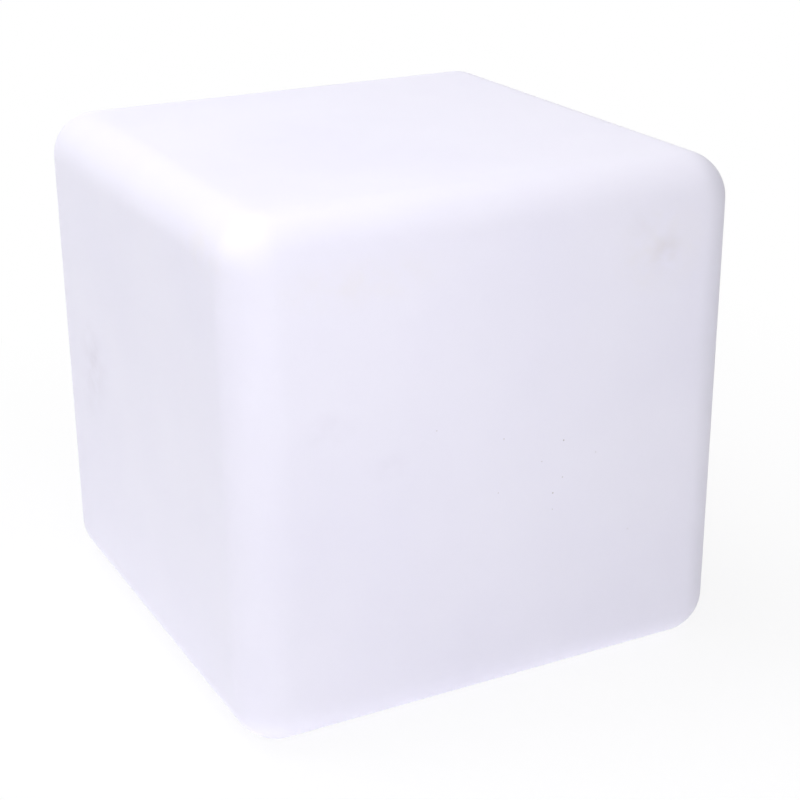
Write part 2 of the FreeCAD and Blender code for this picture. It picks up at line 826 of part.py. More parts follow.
def make_battery():
    cells = new_body("battery_cells")
    for side in "-+":
        spot = (f"pack_y {side} cell_offset", "cell_z")
        pad(circle(across(cells), "cell_radius", *spot), "cell_length", centred=True)
        pad(circle(across(cells), "cell_cap_radius", *spot), "cell_length + strip_thickness", centred=True)
    finished(cells, "battery_cells")

    wrap = new_body("battery_wrap")
    pack_section(wrap, "wrap_radius", pad)
    pack_section(wrap, "cell_radius", pocket)
    finished(wrap, "battery_wrap")

    strips = new_body("battery_strips")
    for side in "-+":
        face = across(strips, f"0 {side} (cell_length / 2 + strip_thickness)")
        strip = rectangle(face, "2 * cell_offset + strip_width", "strip_width", "pack_y", "cell_z")
        pad(strip, "strip_thickness", centred=True)
    finished(strips, "battery_strips")

    guard = new_body("battery_guard_board")
    face = across(guard, "wrap_length / 2")
    pad(rectangle(face, "2 * cell_offset", "2 * wrap_radius", "pack_y", "cell_z"), "guard_board_thickness")
    finished(guard, "battery_guard_board")

    foam = new_body("battery_foam")
    slab(foam, "tray_floor_z", "foam_thickness", "cell_length", "2 * cell_offset", "0", "pack_y")
    finished(foam, "battery_foam")


def make_tray():
    body = new_body("battery_tray")
    slab(body, "floor_z", "tray_height", "tray_length", "tray_width", "0", "pack_y")
    slab(body, "floor_z", "tray_height", "2 * tray_lug_radius", "2 * lug_y", "0", "pack_y")
    slab(body, "ear_z", "tray_ear_thickness", "2 * ear_x", "2 * tray_ear_radius", "0", "pack_y")
    for x, y in lug_spots:
        column(body, "floor_z", "tray_height", "tray_lug_radius", x, y)
        bore(body, "tray_top_z", "tapper_length", "tapper_pilot", x, y, up=False)
    for x, y in ear_spots:
        column(body, "ear_z", "tray_ear_thickness", "tray_ear_radius", x, y)
        bore(body, "ear_z", "tray_ear_thickness", "tapper_hole", x, y)
    inside = ("tray_length - 2 * tray_wall", "tray_width - 2 * tray_wall")
    cutout(body, "tray_floor_z", "tray_height", *inside, "0", "pack_y")
    finished(body, "battery_tray")

    seat_z = "ear_z + tray_ear_thickness"
    fixings, _ = screws("tray_screws", ear_spots, seat_z, "tapper_radius", tapper_head, "tray_screw_length")
    finished(fixings, "tray_screws")


def make_clamp():
    """A strap bent over the pack, with a foot on each of the tray's lugs."""
    body = new_body("battery_clamp")
    inner, leg, foot = "(tray_width / 2 - clamp_thickness)", "(tray_width / 2)", "(lug_y + tray_lug_radius)"
    corners = []
    for side, order in (("-", 1), ("+", -1)):
        half = [
            (f"pack_y {side} {inner}", "clamp_top_z - clamp_thickness"),
            (f"pack_y {side} {inner}", "tray_top_z"),
            (f"pack_y {side} {foot}", "tray_top_z"),
            (f"pack_y {side} {foot}", "clamp_foot_z"),
            (f"pack_y {side} {leg}", "clamp_foot_z"),
            (f"pack_y {side} {leg}", "clamp_top_z"),
        ]
        corners += half[::order]
    pad(outline(across(body), corners), "clamp_width", centred=True)
    for x, y in lug_spots:
        bore(body, "tray_top_z", "clamp_thickness", "tapper_hole", x, y)
    finished(body, "battery_clamp")
    fixings, _ = tapping_screws("clamp_screws", lug_spots, "clamp_foot_z")
    finished(fixings, "clamp_screws")


# The control board and what is soldered to it.

header_spots = [("0", "-cable_circle"), ("battery_header_x", "board_y")]


def make_control_board():
    body = new_body("control_board")
    slab(body, "board_z", "board_thickness", "board_length", "board_width", "0", "board_y")
    for x, y in board_spots:
        bore(body, "board_z", "board_thickness", "tapper_hole", x, y)
    finished(body, "control_board")
    fixings, _ = tapping_screws("board_screws", board_spots, "board_top_z")
    finished(fixings, "board_screws")

    chips = new_body("controller_chips")
    for i in (-1, 0, 1):
        spot = (f"{i} * chip_pitch", "board_y + chip_row")
        slab(chips, "board_top_z", "chip_height", "chip_length", "chip_width", *spot)
    finished(chips, "controller_chips")

    inductor = new_body("power_inductor")
    spot = ("inductor_x", "board_y + parts_row")
    slab(inductor, "board_top_z", "inductor_height", "inductor_side", "inductor_side", *spot)
    finished(inductor, "power_inductor")

    capacitors = new_body("capacitors")
    for side in "-+":
        spot = (f"0 {side} capacitor_x", "board_y + parts_row")
        column(capacitors, "board_top_z", "capacitor_height", "capacitor_radius", *spot)
    finished(capacitors, "capacitors")

    headers = new_body("board_headers")
    plugs = new_body("wire_plugs")
    for x, y in header_spots:
        slab(headers, "board_top_z", "header_height", "header_width", "header_depth", x, y)
        plug = ("header_width - plug_margin", "header_depth - plug_margin")
        slab(plugs, "header_top_z", "plug_height", *plug, x, y)
    finished(headers, "board_headers")
    finished(plugs, "wire_plugs")


# Turned pieces, nuts and terminals.


def turned_piece(label, spot, profile):
    """A turned piece from (radius, height) pairs, with its axis at an (x, y) spot."""
    body = new_body(label)
    revolve(outline(upright(body, *spot), profile))
    finished(body, label)


def hex_nut(label, spot, z, thread, thickness):
    hexagon = doc.addObject("Part::Prism", label + "_hexagon")
    hexagon.Polygon = 6
    bind(hexagon, "Circumradius", thread + " + nut_margin")
    hole = doc.addObject("Part::Cylinder", label + "_bore")
    bind(hole, "Radius", thread + " + thread_fit")
    for thing in (hexagon, hole):
        bind(thing, "Height", thickness)
        for axis, formula in zip("xyz", (*spot, z)):
            bind(thing, "Placement.Base." + axis, formula)
    nut = doc.addObject("Part::Cut", label)
    nut.Base = hexagon
    nut.Tool = hole
    finished(nut, label)


def solder_tabs(label, spot, z, length):
    """Two solder tabs, one each side of an axis."""
    body = new_body(label)
    x, y = spot
    for side in "-+":
        slab(body, z, length, "terminal_thickness", "terminal_width", f"{x} {side} terminal_spread", y)
    finished(body, label)


def straight_leads(label, spots, z, radius):
    """Leads that run straight up to the underside of the control board."""
    body = new_body(label)
    for x, y in spots:
        column(body, z, f"board_z - {z}", radius, x, y)
    finished(body, label)


# The push switch in the panel.


def make_switch():
    turned_piece(
        "switch_body",
        switch,
        [
            ("button_mouth_radius", "bezel_z"),
            ("bezel_radius - bezel_thickness / 2", "bezel_z"),
            ("bezel_radius", "bezel_z + bezel_thickness / 2"),
            ("bezel_radius", "bezel_top_z"),
            ("barrel_radius", "bezel_top_z"),
            ("barrel_radius", "barrel_top_z"),
            ("chamber_radius", "barrel_top_z"),
            ("chamber_radius", "ledge_z"),
            ("button_mouth_radius", "ledge_z"),
        ],
    )
    turned_piece(
        "switch_block",
        switch,
        [
            ("0", "block_z"),
            ("chamber_radius - thread_fit", "block_z"),
            ("chamber_radius - thread_fit", "barrel_top_z"),
            ("barrel_radius", "barrel_top_z"),
            ("barrel_radius", "block_top_z"),
            ("0", "block_top_z"),
        ],
    )
    turned_piece(
        "switch_button",
        switch,
        [
            ("0", "bezel_z - button_proud"),
            ("button_radius - button_edge", "bezel_z - button_proud"),
            ("button_radius", "bezel_z - button_proud + button_edge"),
            ("button_radius", "ledge_z"),
            ("shoulder_radius", "ledge_z"),
            ("shoulder_radius", "shoulder_z"),
            ("button_stem_radius", "shoulder_z"),
            ("button_stem_radius", "stem_z"),
            ("0", "stem_z"),
        ],
    )
    washer = new_body("switch_washer")
    outer = "bezel_radius - washer_inset"
    tube(washer, "bezel_top_z", "switch_washer_thickness", outer, "barrel_hole_radius", *switch)
    finished(washer, "switch_washer")
    hex_nut("switch_nut", switch, "floor_z", "barrel_radius", "switch_nut_thickness")
    solder_tabs("switch_terminals", switch, "block_top_z", "terminal_length")
    lead_spots = [(f"switch_x {side} terminal_spread", "switch_y") for side in "-+"]
    straight_leads("switch_leads", lead_spots, "switch_end_z", "wire_radius")


volume_slack = 0.01


def round_wire(label, path, start, aim, radius):
    """A node that is a round wire along a path, which leaves start along aim."""
    section = Part.Wire([Part.Circle(start, aim, radius).toShape()])
    wire = doc.addObject("Part::Feature", label)
    wire.Shape = path.makePipeShell([section], True, False)
    expected = math.pi * radius**2 * path.Length
    if abs(wire.Shape.Volume - expected) > volume_slack * expected:
        raise ValueError(f"the volume of {label} isn't its section times its length")
    finished(wire, label)


def arc_from(start, aim, end):
    """The arc that leaves start along aim and ends at end."""
    chord = end - start
    side = (aim - chord * (aim.dot(chord) / chord.dot(chord))).normalize()
    rise = chord.Length / 2 * math.tan(aim.getAngle(chord) / 2)
    return Part.Arc(start, (start + end) * 0.5 + side * rise, end).toShape()


def biarc(start, into, end, out):
    """Two arcs that leave start along into, meet smoothly and reach end along out."""
    gap = end - start
    square, slope = 2 * (into.dot(out) - 1), -2 * gap.dot(into + out)
    reach = (-slope - math.sqrt(slope**2 - 4 * square * gap.dot(gap))) / (2 * square)
    before, after = start + into * reach, end - out * reach
    joint = (before + after) * 0.5
    return [arc_from(start, into, joint), arc_from(joint, (after - before).normalize(), end)]


def make_spring():
    """The return spring between the button's shoulder and the switch block: a tube along pairs of arcs that
    join the points of a helix, half a turn apart, along its tangents."""
    radius, wire, turns = number("spring_radius"), number("spring_wire"), number("spring_turns")
    start_z = number("shoulder_z") + wire
    rise = number("block_z") - wire - start_z
    climb = rise / (2 * math.pi * turns)
    middle = FreeCAD.Vector(number("switch_x"), number("switch_y"), start_z)

    def on_helix(angle):
        x, y = radius * math.cos(angle), radius * math.sin(angle)
        return middle + FreeCAD.Vector(x, y, climb * angle), FreeCAD.Vector(-y, x, climb).normalize()

    stops = [on_helix(half * math.pi) for half in range(round(2 * turns) + 1)]
    path = Part.Wire([arc for start, end in zip(stops, stops[1:]) for arc in biarc(*start, *end)])
    print(f"switch_spring: {rise / turns - 2 * wire:.2f} mm between turns")
    round_wire("switch_spring", path, *stops[0], wire)


# The charging socket and its hinged cover.


def make_jack():
    turned_piece(
        "jack_body",
        port,
        [
            ("jack_bore_radius", "jack_z"),
            ("jack_radius + jack_flange_margin", "jack_z"),
            ("jack_radius + jack_flange_margin", "well_floor_z"),
            ("jack_radius", "well_floor_z"),
            ("jack_radius", "jack_end_z"),
            ("jack_pin_radius", "jack_end_z"),
            ("jack_pin_radius", "jack_bore_end_z"),
            ("contact_radius + thread_fit", "jack_bore_end_z"),
            ("contact_radius + thread_fit", "contact_z"),
            ("jack_bore_radius", "contact_z"),
        ],
    )
    turned_piece(
        "jack_pin",
        port,
        [
            ("0", "jack_z + jack_pin_setback"),
            ("jack_pin_radius - jack_pin_nose", "jack_z + jack_pin_setback"),
            ("jack_pin_radius", "jack_z + jack_pin_setback + jack_pin_nose"),
            ("jack_pin_radius", "jack_tail_z"),
            ("0", "jack_tail_z"),
        ],
    )
    contact = new_body("jack_contact")
    tube(contact, "contact_z", "jack_bore_end_z - contact_z", "contact_radius", "jack_bore_radius", *port)
    finished(contact, "jack_contact")
    hex_nut("jack_nut", port, "well_top_z", "jack_radius", "jack_nut_thickness")
    solder_tabs("jack_terminals", port, "jack_end_z", "jack_pin_tail")
    lead_spots = [port, ("port_x + terminal_spread", "port_y")]
    straight_leads("jack_leads", lead_spots, "jack_tail_z", "wire_radius")


def make_cover():
    """The soft cover: a disc with a skirt and a nub, a finger tab and a strap rolled at its end."""
    body = new_body("socket_cover")
    skirt_radius = "well_radius - cover_gap"
    column(body, "panel_z", "cover_thickness", "cover_radius", *port)
    tube(body, "cover_top_z", "cover_skirt_height", skirt_radius, f"{skirt_radius} - cover_skirt_wall", *port)
    column(body, "cover_top_z", "cover_nub_height", "cover_nub_radius", *port)
    slab(body, "panel_z", "strap_thickness", "strap_width", "hinge_reach", "port_x", "(hinge_y + port_y) / 2")
    roll = circle(across(body, "port_x"), "strap_thickness / 2", "hinge_y", "hinge_z")
    pad(roll, "strap_width", centred=True)
    slab(body, "panel_z", "strap_thickness", "tab_width", "tab_length", "port_x", "port_y - tab_length / 2")
    finished(body, "socket_cover")


def make_anchor():
    """The block that holds the cover's strap, riveted through the panel by its own stem."""
    body = new_body("cover_anchor")
    slab(body, "panel_z", "cover_thickness", "strap_width", "anchor_length", "port_x", "anchor_y")
    knuckle = circle(across(body, "port_x"), "strap_thickness / 2 + hinge_gap", "hinge_y", "hinge_z")
    pocket(knuckle, "strap_width", centred=True)
    column(body, "cover_top_z", "panel_thickness", "anchor_stem_radius", "port_x", "anchor_y")
    column(body, "anchor_top_z", "anchor_head_height", "anchor_head_radius", "port_x", "anchor_y")
    finished(body, "cover_anchor")


def make_vent():
    turned_piece(
        "pressure_vent",
        ("0", "vent_y"),
        [
            ("0", "vent_head_z + vent_head_height / 2"),
            ("vent_radius", "vent_head_z + vent_head_height / 2"),
            ("vent_radius", "vent_head_z"),
            ("vent_head_radius - vent_head_height / 2", "vent_head_z"),
            ("vent_head_radius", "panel_z"),
            ("vent_radius", "panel_z"),
            ("vent_radius", "floor_z"),
            ("vent_radius + vent_barb", "floor_z"),
            ("vent_radius", "floor_z + vent_barb_height"),
            ("0", "floor_z + vent_barb_height"),
        ],
    )


def make_indicator():
    turned_piece(
        "charge_indicator",
        ("0", "indicator_y"),
        [
            ("0", "panel_z"),
            ("indicator_radius / 2", "panel_z"),
            ("indicator_radius", "panel_z + indicator_radius / 2"),
            ("indicator_radius", "floor_z"),
            ("indicator_rim_radius", "floor_z"),
            ("indicator_rim_radius", "floor_z + indicator_rim"),
            ("indicator_radius", "floor_z + indicator_rim"),
            ("indicator_radius", "indicator_top_z"),
            ("0", "indicator_top_z"),
        ],
    )
    legs = [(f"0 {side} indicator_pitch / 2", "indicator_y") for side in "-+"]
    straight_leads("indicator_leads", legs, "indicator_top_z", "fine_wire_radius")


# Wires that bend: straight runs joined by tangent arcs.

bend_share = 0.45


def bent_wire(label, route, radius):
    points = [FreeCAD.Vector(*p) for p in route]
    edges, start = [], points[0]
    for before, corner, after in zip(points, points[1:], points[2:]):
        into, out = corner - before, after - corner
        half_turn = into.getAngle(out) / 2
        setback = bend_share * min(into.Length, out.Length)
        bend = setback / math.tan(half_turn)
        into.normalize()
        out.normalize()
        first, last = corner - into * setback, corner + out * setback
        middle = corner + (out - into).normalize() * (bend / math.cos(half_turn) - bend)
        edges.append(Part.LineSegment(start, first).toShape())
        edges.append(Part.Arc(first, middle, last).toShape())
        start = last
        print(f"{label}: bend radius {bend:.1f} mm, wire diameter {2 * radius:.1f} mm")
    edges.append(Part.LineSegment(start, points[-1]).toShape())
    path = Part.Wire(edges)
    round_wire(label, path, points[0], points[1] - points[0], radius)


def make_cable():
    """The cable from the control board up through the deck to the light board."""
    hole_y, landing_y = -number("cable_circle"), -number("cable_landing")
    arch_z = number("led_face_z") + number("cable_arch")
    route = [
        (0, hole_y, number("plug_top_z")),
        (0, hole_y, arch_z),
        (0, landing_y, arch_z),
        (0, landing_y, number("led_face_z")),
    ]
    bent_wire("led_cable", route, number("cable_radius"))

    grommet = new_body("cable_grommet")
    wide, narrow = "cable_radius + 2 * grommet_wall", "cable_radius + grommet_wall"
    for z, height, radius in (
        ("deck_z - grommet_lip", "grommet_lip", wide),
        ("deck_z", "deck_thickness", narrow),
        ("deck_top_z", "grommet_lip", wide),
    ):
        column(grommet, z, height, radius, "0", "-cable_circle")
    whole = "deck_thickness + 2 * grommet_lip"
    bore(grommet, "deck_z - grommet_lip", whole, "cable_radius", "0", "-cable_circle")
    finished(grommet, "cable_grommet")


def make_battery_leads():
    """Two leads that leave the guard board, pass over the pack and drop into the plug."""
    board_x = number("wrap_length") / 2 + number("guard_board_thickness")
    plug_x, plug_y, plug_z = number("battery_header_x"), number("board_y"), number("plug_top_z")
    start_z, over_z = number("cell_z") + number("lead_lift"), number("clamp_top_z")
    for label, side in (("battery_lead_red", -1), ("battery_lead_black", 1)):
        offset = side * number("lead_spacing") / 2
        start_y, end_x = number("pack_y") + offset, plug_x - offset
        route = [
            (board_x, start_y, start_z),
            (board_x + 8, start_y, start_z),
            (board_x + 9, start_y - 4, over_z + 1),
            (board_x - 2, start_y - 11, over_z + 6),
            (board_x - 22, start_y - 19, over_z + 7),
            (end_x + 24, offset + 2, over_z + 7.5),
            (end_x + 7, offset - 7, over_z + 8.5),
            (end_x, plug_y + 8, plug_z + 4.8),
            (end_x, plug_y, plug_z + 4.8),
            (end_x, plug_y, plug_z),
        ]
        bent_wire(label, route, number("wire_radius"))


for make in (
    make_shell,
    make_inserts,
    make_gasket,
    make_base_screws,
    make_base_housing,
    make_deck,
    make_deck_seal,
    make_deck_screws,
    make_led_board,
    make_emitters,
    make_sensor,
    make_dome,
    make_battery,
    make_tray,
    make_clamp,
    make_control_board,
    make_switch,
    make_spring,
    make_jack,
    make_cover,
    make_anchor,
    make_vent,
    make_indicator,
    make_cable,
    make_battery_leads,
):
    make()
doc.recompute()

# Nothing is written unless every object and every piece is sound.
least_cut = 0.001
for thing in doc.Objects:
    if "Invalid" in thing.State or "Error" in thing.State:
        raise RuntimeError(f"{thing.Label} failed: {thing.State}")
    if thing.TypeId == "PartDesign::Pocket" and not thing.Shape.isNull() and thing.BaseFeature:
        if thing.BaseFeature.Shape.Volume - thing.Shape.Volume < least_cut:
            raise RuntimeError(f"{thing.Name} of {thing.getParentGeoFeatureGroup().Label} cuts nothing")
os.makedirs("parts", exist_ok=True)
for node in nodes:
    if node.Shape.isNull() or not node.Shape.isValid():
        raise RuntimeError(f"{node.Label} has no sound shape")
for node in nodes:
    node.Shape.exportStep(os.path.join("parts", node.Label + ".step"))
print(len(nodes), "nodes written")
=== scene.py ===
import json
import math

import bmesh
import bpy
from mathutils import Matrix, Vector


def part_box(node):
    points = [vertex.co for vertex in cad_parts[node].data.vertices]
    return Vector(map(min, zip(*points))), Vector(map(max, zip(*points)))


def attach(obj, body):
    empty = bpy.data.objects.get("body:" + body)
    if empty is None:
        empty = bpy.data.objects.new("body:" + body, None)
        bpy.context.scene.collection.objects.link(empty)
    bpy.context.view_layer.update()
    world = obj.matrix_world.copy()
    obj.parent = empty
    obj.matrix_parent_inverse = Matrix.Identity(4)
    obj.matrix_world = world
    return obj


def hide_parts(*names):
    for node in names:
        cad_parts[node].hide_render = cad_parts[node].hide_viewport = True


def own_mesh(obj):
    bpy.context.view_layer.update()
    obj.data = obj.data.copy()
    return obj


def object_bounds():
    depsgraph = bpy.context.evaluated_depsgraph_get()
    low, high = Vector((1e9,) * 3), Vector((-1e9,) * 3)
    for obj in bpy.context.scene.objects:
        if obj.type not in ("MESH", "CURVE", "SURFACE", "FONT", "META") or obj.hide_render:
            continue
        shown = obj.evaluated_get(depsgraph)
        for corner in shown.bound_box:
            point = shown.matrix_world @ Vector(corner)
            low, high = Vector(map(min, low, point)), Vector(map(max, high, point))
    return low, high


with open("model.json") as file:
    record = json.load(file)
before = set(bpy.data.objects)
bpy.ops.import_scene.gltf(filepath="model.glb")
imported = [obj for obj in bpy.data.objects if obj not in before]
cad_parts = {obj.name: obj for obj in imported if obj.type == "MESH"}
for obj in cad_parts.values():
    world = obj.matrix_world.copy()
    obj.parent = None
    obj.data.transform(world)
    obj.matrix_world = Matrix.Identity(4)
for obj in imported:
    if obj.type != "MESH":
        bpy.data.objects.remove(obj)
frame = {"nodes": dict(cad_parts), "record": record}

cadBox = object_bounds()
nodes = frame["nodes"]
collection = bpy.context.scene.collection
mm = 0.001
print("frame loaded:", len(nodes), "pieces")


# Node helpers. A value is a number, a colour, a socket, or a node whose first output is meant.

def connect(tree, value, socket):
    if isinstance(value, bpy.types.Node):
        value = value.outputs[0]
    if isinstance(value, bpy.types.NodeSocket):
        tree.links.new(value, socket)
    else:
        socket.default_value = value


def addNode(tree, kind, inputs=None, **settings):
    node = tree.nodes.new(kind)
    for name, value in settings.items():
        setattr(node, name, value)
    for name, value in (inputs or {}).items():
        connect(tree, value, node.inputs[name])
    return node


def shapeNode(tree, kind, inputs=None, **settings):
    return addNode(tree, "GeometryNode" + kind, inputs, **settings)


def maths(tree, operation, *values):
    return addNode(tree, "ShaderNodeMath", dict(enumerate(values)), operation=operation).outputs[0]


def times(tree, a, b):
    return maths(tree, "MULTIPLY", a, b)


def plus(tree, a, b):
    return maths(tree, "ADD", a, b)


def minus(tree, a, b):
    return maths(tree, "SUBTRACT", a, b)


def divided(tree, a, b):
    return maths(tree, "DIVIDE", a, b)


def halved(tree, a):
    return divided(tree, a, 2.0)


def vectors(tree, operation, *values):
    node = addNode(tree, "ShaderNodeVectorMath", dict(enumerate(values)), operation=operation)
    return node.outputs["Value" if operation == "LENGTH" else "Vector"]


def scaled(tree, vector, factor):
    inputs = {"Vector": vector, "Scale": factor}
    return addNode(tree, "ShaderNodeVectorMath", inputs, operation="SCALE").outputs[0]


def joined(tree, x=0.0, y=0.0, z=0.0):
    return addNode(tree, "ShaderNodeCombineXYZ", {"X": x, "Y": y, "Z": z}).outputs[0]


def split(tree, vector):
    return addNode(tree, "ShaderNodeSeparateXYZ", {"Vector": vector}).outputs


def remapped(tree, value, low, high, newLow=0.0, newHigh=1.0):
    inputs = {"Value": value, "From Min": low, "From Max": high, "To Min": newLow, "To Max": newHigh}
    return addNode(tree, "ShaderNodeMapRange", inputs).outputs[0]


def noise(tree, place, size, detail=2.0, seed=0.0):
    inputs = {"Vector": place, "Scale": divided(tree, 1.0, size), "Detail": detail, "W": seed}
    return addNode(tree, "ShaderNodeTexNoise", inputs, noise_dimensions="4D").outputs[0]


def mixedColour(tree, mask, first, second):
    # by number, as the sockets share their names
    mix = addNode(tree, "ShaderNodeMix", {0: mask, 6: first, 7: second}, data_type="RGBA")
    return mix.outputs[2]


def surfacePlace(tree):
    return addNode(tree, "ShaderNodeTexCoord").outputs["Object"]


def newGroup(name, kind, inputs, outputs):
    # an input is given by its starting number or colour, or by the kind of its socket
    tree = bpy.data.node_groups.new(name, kind)
    for label, start in inputs.items():
        kindOfSocket = {int: "Int", float: "Float", tuple: "Color"}.get(type(start), start)
        socket = tree.interface.new_socket(label, in_out="INPUT", socket_type=f"NodeSocket{kindOfSocket}")
        if not isinstance(start, str):
            socket.default_value = start
    for label, kindOfSocket in outputs.items():
        tree.interface.new_socket(label, in_out="OUTPUT", socket_type=f"NodeSocket{kindOfSocket}")
    return tree, tree.nodes.new("NodeGroupInput").outputs, tree.nodes.new("NodeGroupOutput").inputs


def useGroup(tree, group, inputs):
    kind = "GeometryNodeGroup" if tree.bl_idname == "GeometryNodeTree" else "ShaderNodeGroup"
    return addNode(tree, kind, inputs, node_tree=group)


def newPiece(name, mesh):
    mesh.name = name
    piece = bpy.data.objects.new(name, mesh)
    collection.objects.link(piece)
    print(name, "made:", len(mesh.polygons), "faces")
    return piece


def grow(name, node, tree, sizes, spots):
    # runs a geometry tree on a handful of points and keeps what it makes as a plain mesh
    finish = finishes[slots[node]]
    points = bpy.data.meshes.new(name + "Points")
    points.from_pydata([Vector(spot) for spot in spots], [], [])
    holder = bpy.data.objects.new(name + "Points", points)
    collection.objects.link(holder)
    modifier = holder.modifiers.new(name, "NODES")
    modifier.node_group = tree
    found = {item.name: item.identifier for item in tree.interface.items_tree if item.in_out == "INPUT"}
    for label, value in {**sizes, "Material": finish}.items():
        modifier[found[label]] = value
    graph = bpy.context.evaluated_depsgraph_get()
    mesh = bpy.data.meshes.new_from_object(holder.evaluated_get(graph), depsgraph=graph)
    bpy.data.objects.remove(holder)
    mesh.materials.clear()
    mesh.materials.append(finish)
    mesh.polygons.foreach_set("material_index", [0] * len(mesh.polygons))
    return newPiece(name, mesh)


weldDistance = 0.001 * mm
fineWeld = 0.0001 * mm


def welded(mesh):
    # a node's mesh is loose triangles, so a copy is merged before it is used
    form = bmesh.new()
    form.from_mesh(mesh)
    bmesh.ops.remove_doubles(form, verts=form.verts, dist=weldDistance)
    return form


def smoothMesh(name, form):
    mesh = bpy.data.meshes.new(name)
    form.to_mesh(mesh)
    form.free()
    mesh.shade_smooth()
    return mesh


def islands(name):
    # the lowest and highest corner of each separate solid in a node
    form = welded(nodes[name].data)
    found, left = [], set(form.verts)
    while left:
        group, edge = set(), [left.pop()]
        while edge:
            vertex = edge.pop()
            group.add(vertex)
            near = {e.other_vert(vertex) for e in vertex.link_edges} & left
            left -= near
            edge.extend(near)
        corners = list(zip(*(v.co for v in group)))
        found.append((Vector(map(min, corners)), Vector(map(max, corners))))
    form.free()
    return sorted(found, key=lambda corners: tuple(round(c, 5) for c in corners[0]))


# Camera: where the photograph was taken from.

cameraSettings = {
    "turn": 27.35,
    "tilt": 21.75,
    "roll": -0.40,
    "distance": 1.4158,
    "aimAside": 0.0192,
    "aimUp": -0.0262,
    "lens": 78.97,
    "sensor": 36.0,
}


def makeCamera(settings):
    turn, tilt, roll = (math.radians(settings[key]) for key in ("turn", "tilt", "roll"))
    ahead = Vector((math.sin(turn) * math.cos(tilt), math.cos(turn) * math.cos(tilt), -math.sin(tilt)))
    side = Vector((math.cos(turn), -math.sin(turn), 0))
    upward = side.cross(ahead)
    right = side * math.cos(roll) + upward * math.sin(roll)
    top = upward * math.cos(roll) - side * math.sin(roll)
    middle = (cadBox[0] + cadBox[1]) / 2
    aim = middle + side * settings["aimAside"] + Vector((0, 0, settings["aimUp"]))
    place = aim - ahead * settings["distance"]
    data = bpy.data.cameras.new("camera")
    data.sensor_width = settings["sensor"]
    data.lens = settings["lens"]
    camera = bpy.data.objects.new("camera", data)
    facing = Matrix((right, top, -ahead)).transposed().to_4x4()
    camera.matrix_world = Matrix.Translation(place) @ facing
    collection.objects.link(camera)
    bpy.context.scene.camera = camera


makeCamera(cameraSettings)
print("camera placed")


# Shared shader groups.

surfaceOutputs = {"Colour": "Color", "Roughness": "Float", "Height": "Float"}
surfaceShape = {
    # the noise where a cloud, a smudge or a dull patch begins, and where it is full
    "cloud": (0.35, 0.65),
    "smudge": (0.32, 0.66),
    "patch": (0.45, 0.7),
    "smallestSpeck": 0.3,
    "speckCore": 0.4,
    "alongScratch": (1.0, 0.08, 1.0),
    "dullness": 0.12,
}


def makeGrainGroup():
    # cloudy tint, uneven gloss and a fine moulded grain
    tree, given, result = newGroup(
        "mouldedGrain", "ShaderNodeTree",
        {
            "Colour": (1.0, 1.0, 1.0, 1.0), "Second Colour": (0.9, 0.9, 0.9, 1.0), "Cloud Size": 0.05,
            "Grain Size": 0.001, "Roughness": 0.5, "Roughness Swing": 0.08, "Seed": 0.0,
        },
        surfaceOutputs,
    )
    place = surfacePlace(tree)
    clouds = noise(tree, place, given["Cloud Size"], 3.0, given["Seed"])
    grain = noise(tree, place, given["Grain Size"], 2.0, given["Seed"])
    mask = remapped(tree, clouds, *surfaceShape["cloud"])
    colour = mixedColour(tree, mask, given["Colour"], given["Second Colour"])
    connect(tree, colour, result["Colour"])
    swing = times(tree, minus(tree, clouds, 0.5), given["Roughness Swing"])
    fine = times(tree, minus(tree, grain, 0.5), given["Roughness Swing"])
    uneven = plus(tree, times(tree, swing, 2.0), fine)
    connect(tree, plus(tree, given["Roughness"], uneven), result["Roughness"])
    connect(tree, grain, result["Height"])
    return tree


def makeSpecksGroup():
    # specks of dirt: one in each cell of a jittered grid, most of them too faint to see
    tree, given, result = newGroup(
        "specks", "ShaderNodeTree",
        {"Spacing": 0.03, "Speck Size": 0.0005, "Share": 0.3},
        {"Mask": "Float"},
    )
    place = surfacePlace(tree)
    cells = addNode(tree, "ShaderNodeTexVoronoi", {
        "Vector": place, "Scale": divided(tree, 1.0, given["Spacing"]),
    })
    lot = addNode(tree, "ShaderNodeSeparateColor", {"Color": cells.outputs["Color"]}).outputs
    reach = times(tree, cells.outputs["Distance"], given["Spacing"])
    size = times(tree, given["Speck Size"], plus(tree, lot[1], surfaceShape["smallestSpeck"]))
    inside = remapped(tree, reach, size, times(tree, size, surfaceShape["speckCore"]))
    chosen = maths(tree, "LESS_THAN", lot[0], given["Share"])
    connect(tree, times(tree, inside, chosen), result["Mask"])
    return tree


def makeSmudgeGroup():
    # one faint handling mark about a centre, broken up by noise
    tree, given, result = newGroup(
        "smudge", "ShaderNodeTree",
        {"Centre": "Vector", "Radii": "Vector", "Breakup": 0.02, "Strength": 1.0},
        {"Mask": "Float"},
    )
    place = surfacePlace(tree)
    offset = vectors(tree, "DIVIDE", vectors(tree, "SUBTRACT", place, given["Centre"]), given["Radii"])
    spread = remapped(tree, vectors(tree, "LENGTH", offset), 1.0, 0.0)
    torn = remapped(tree, noise(tree, place, given["Breakup"], 4.0), *surfaceShape["smudge"])
    mask = times(tree, times(tree, spread, torn), given["Strength"])
    connect(tree, mask, result["Mask"])
    return tree


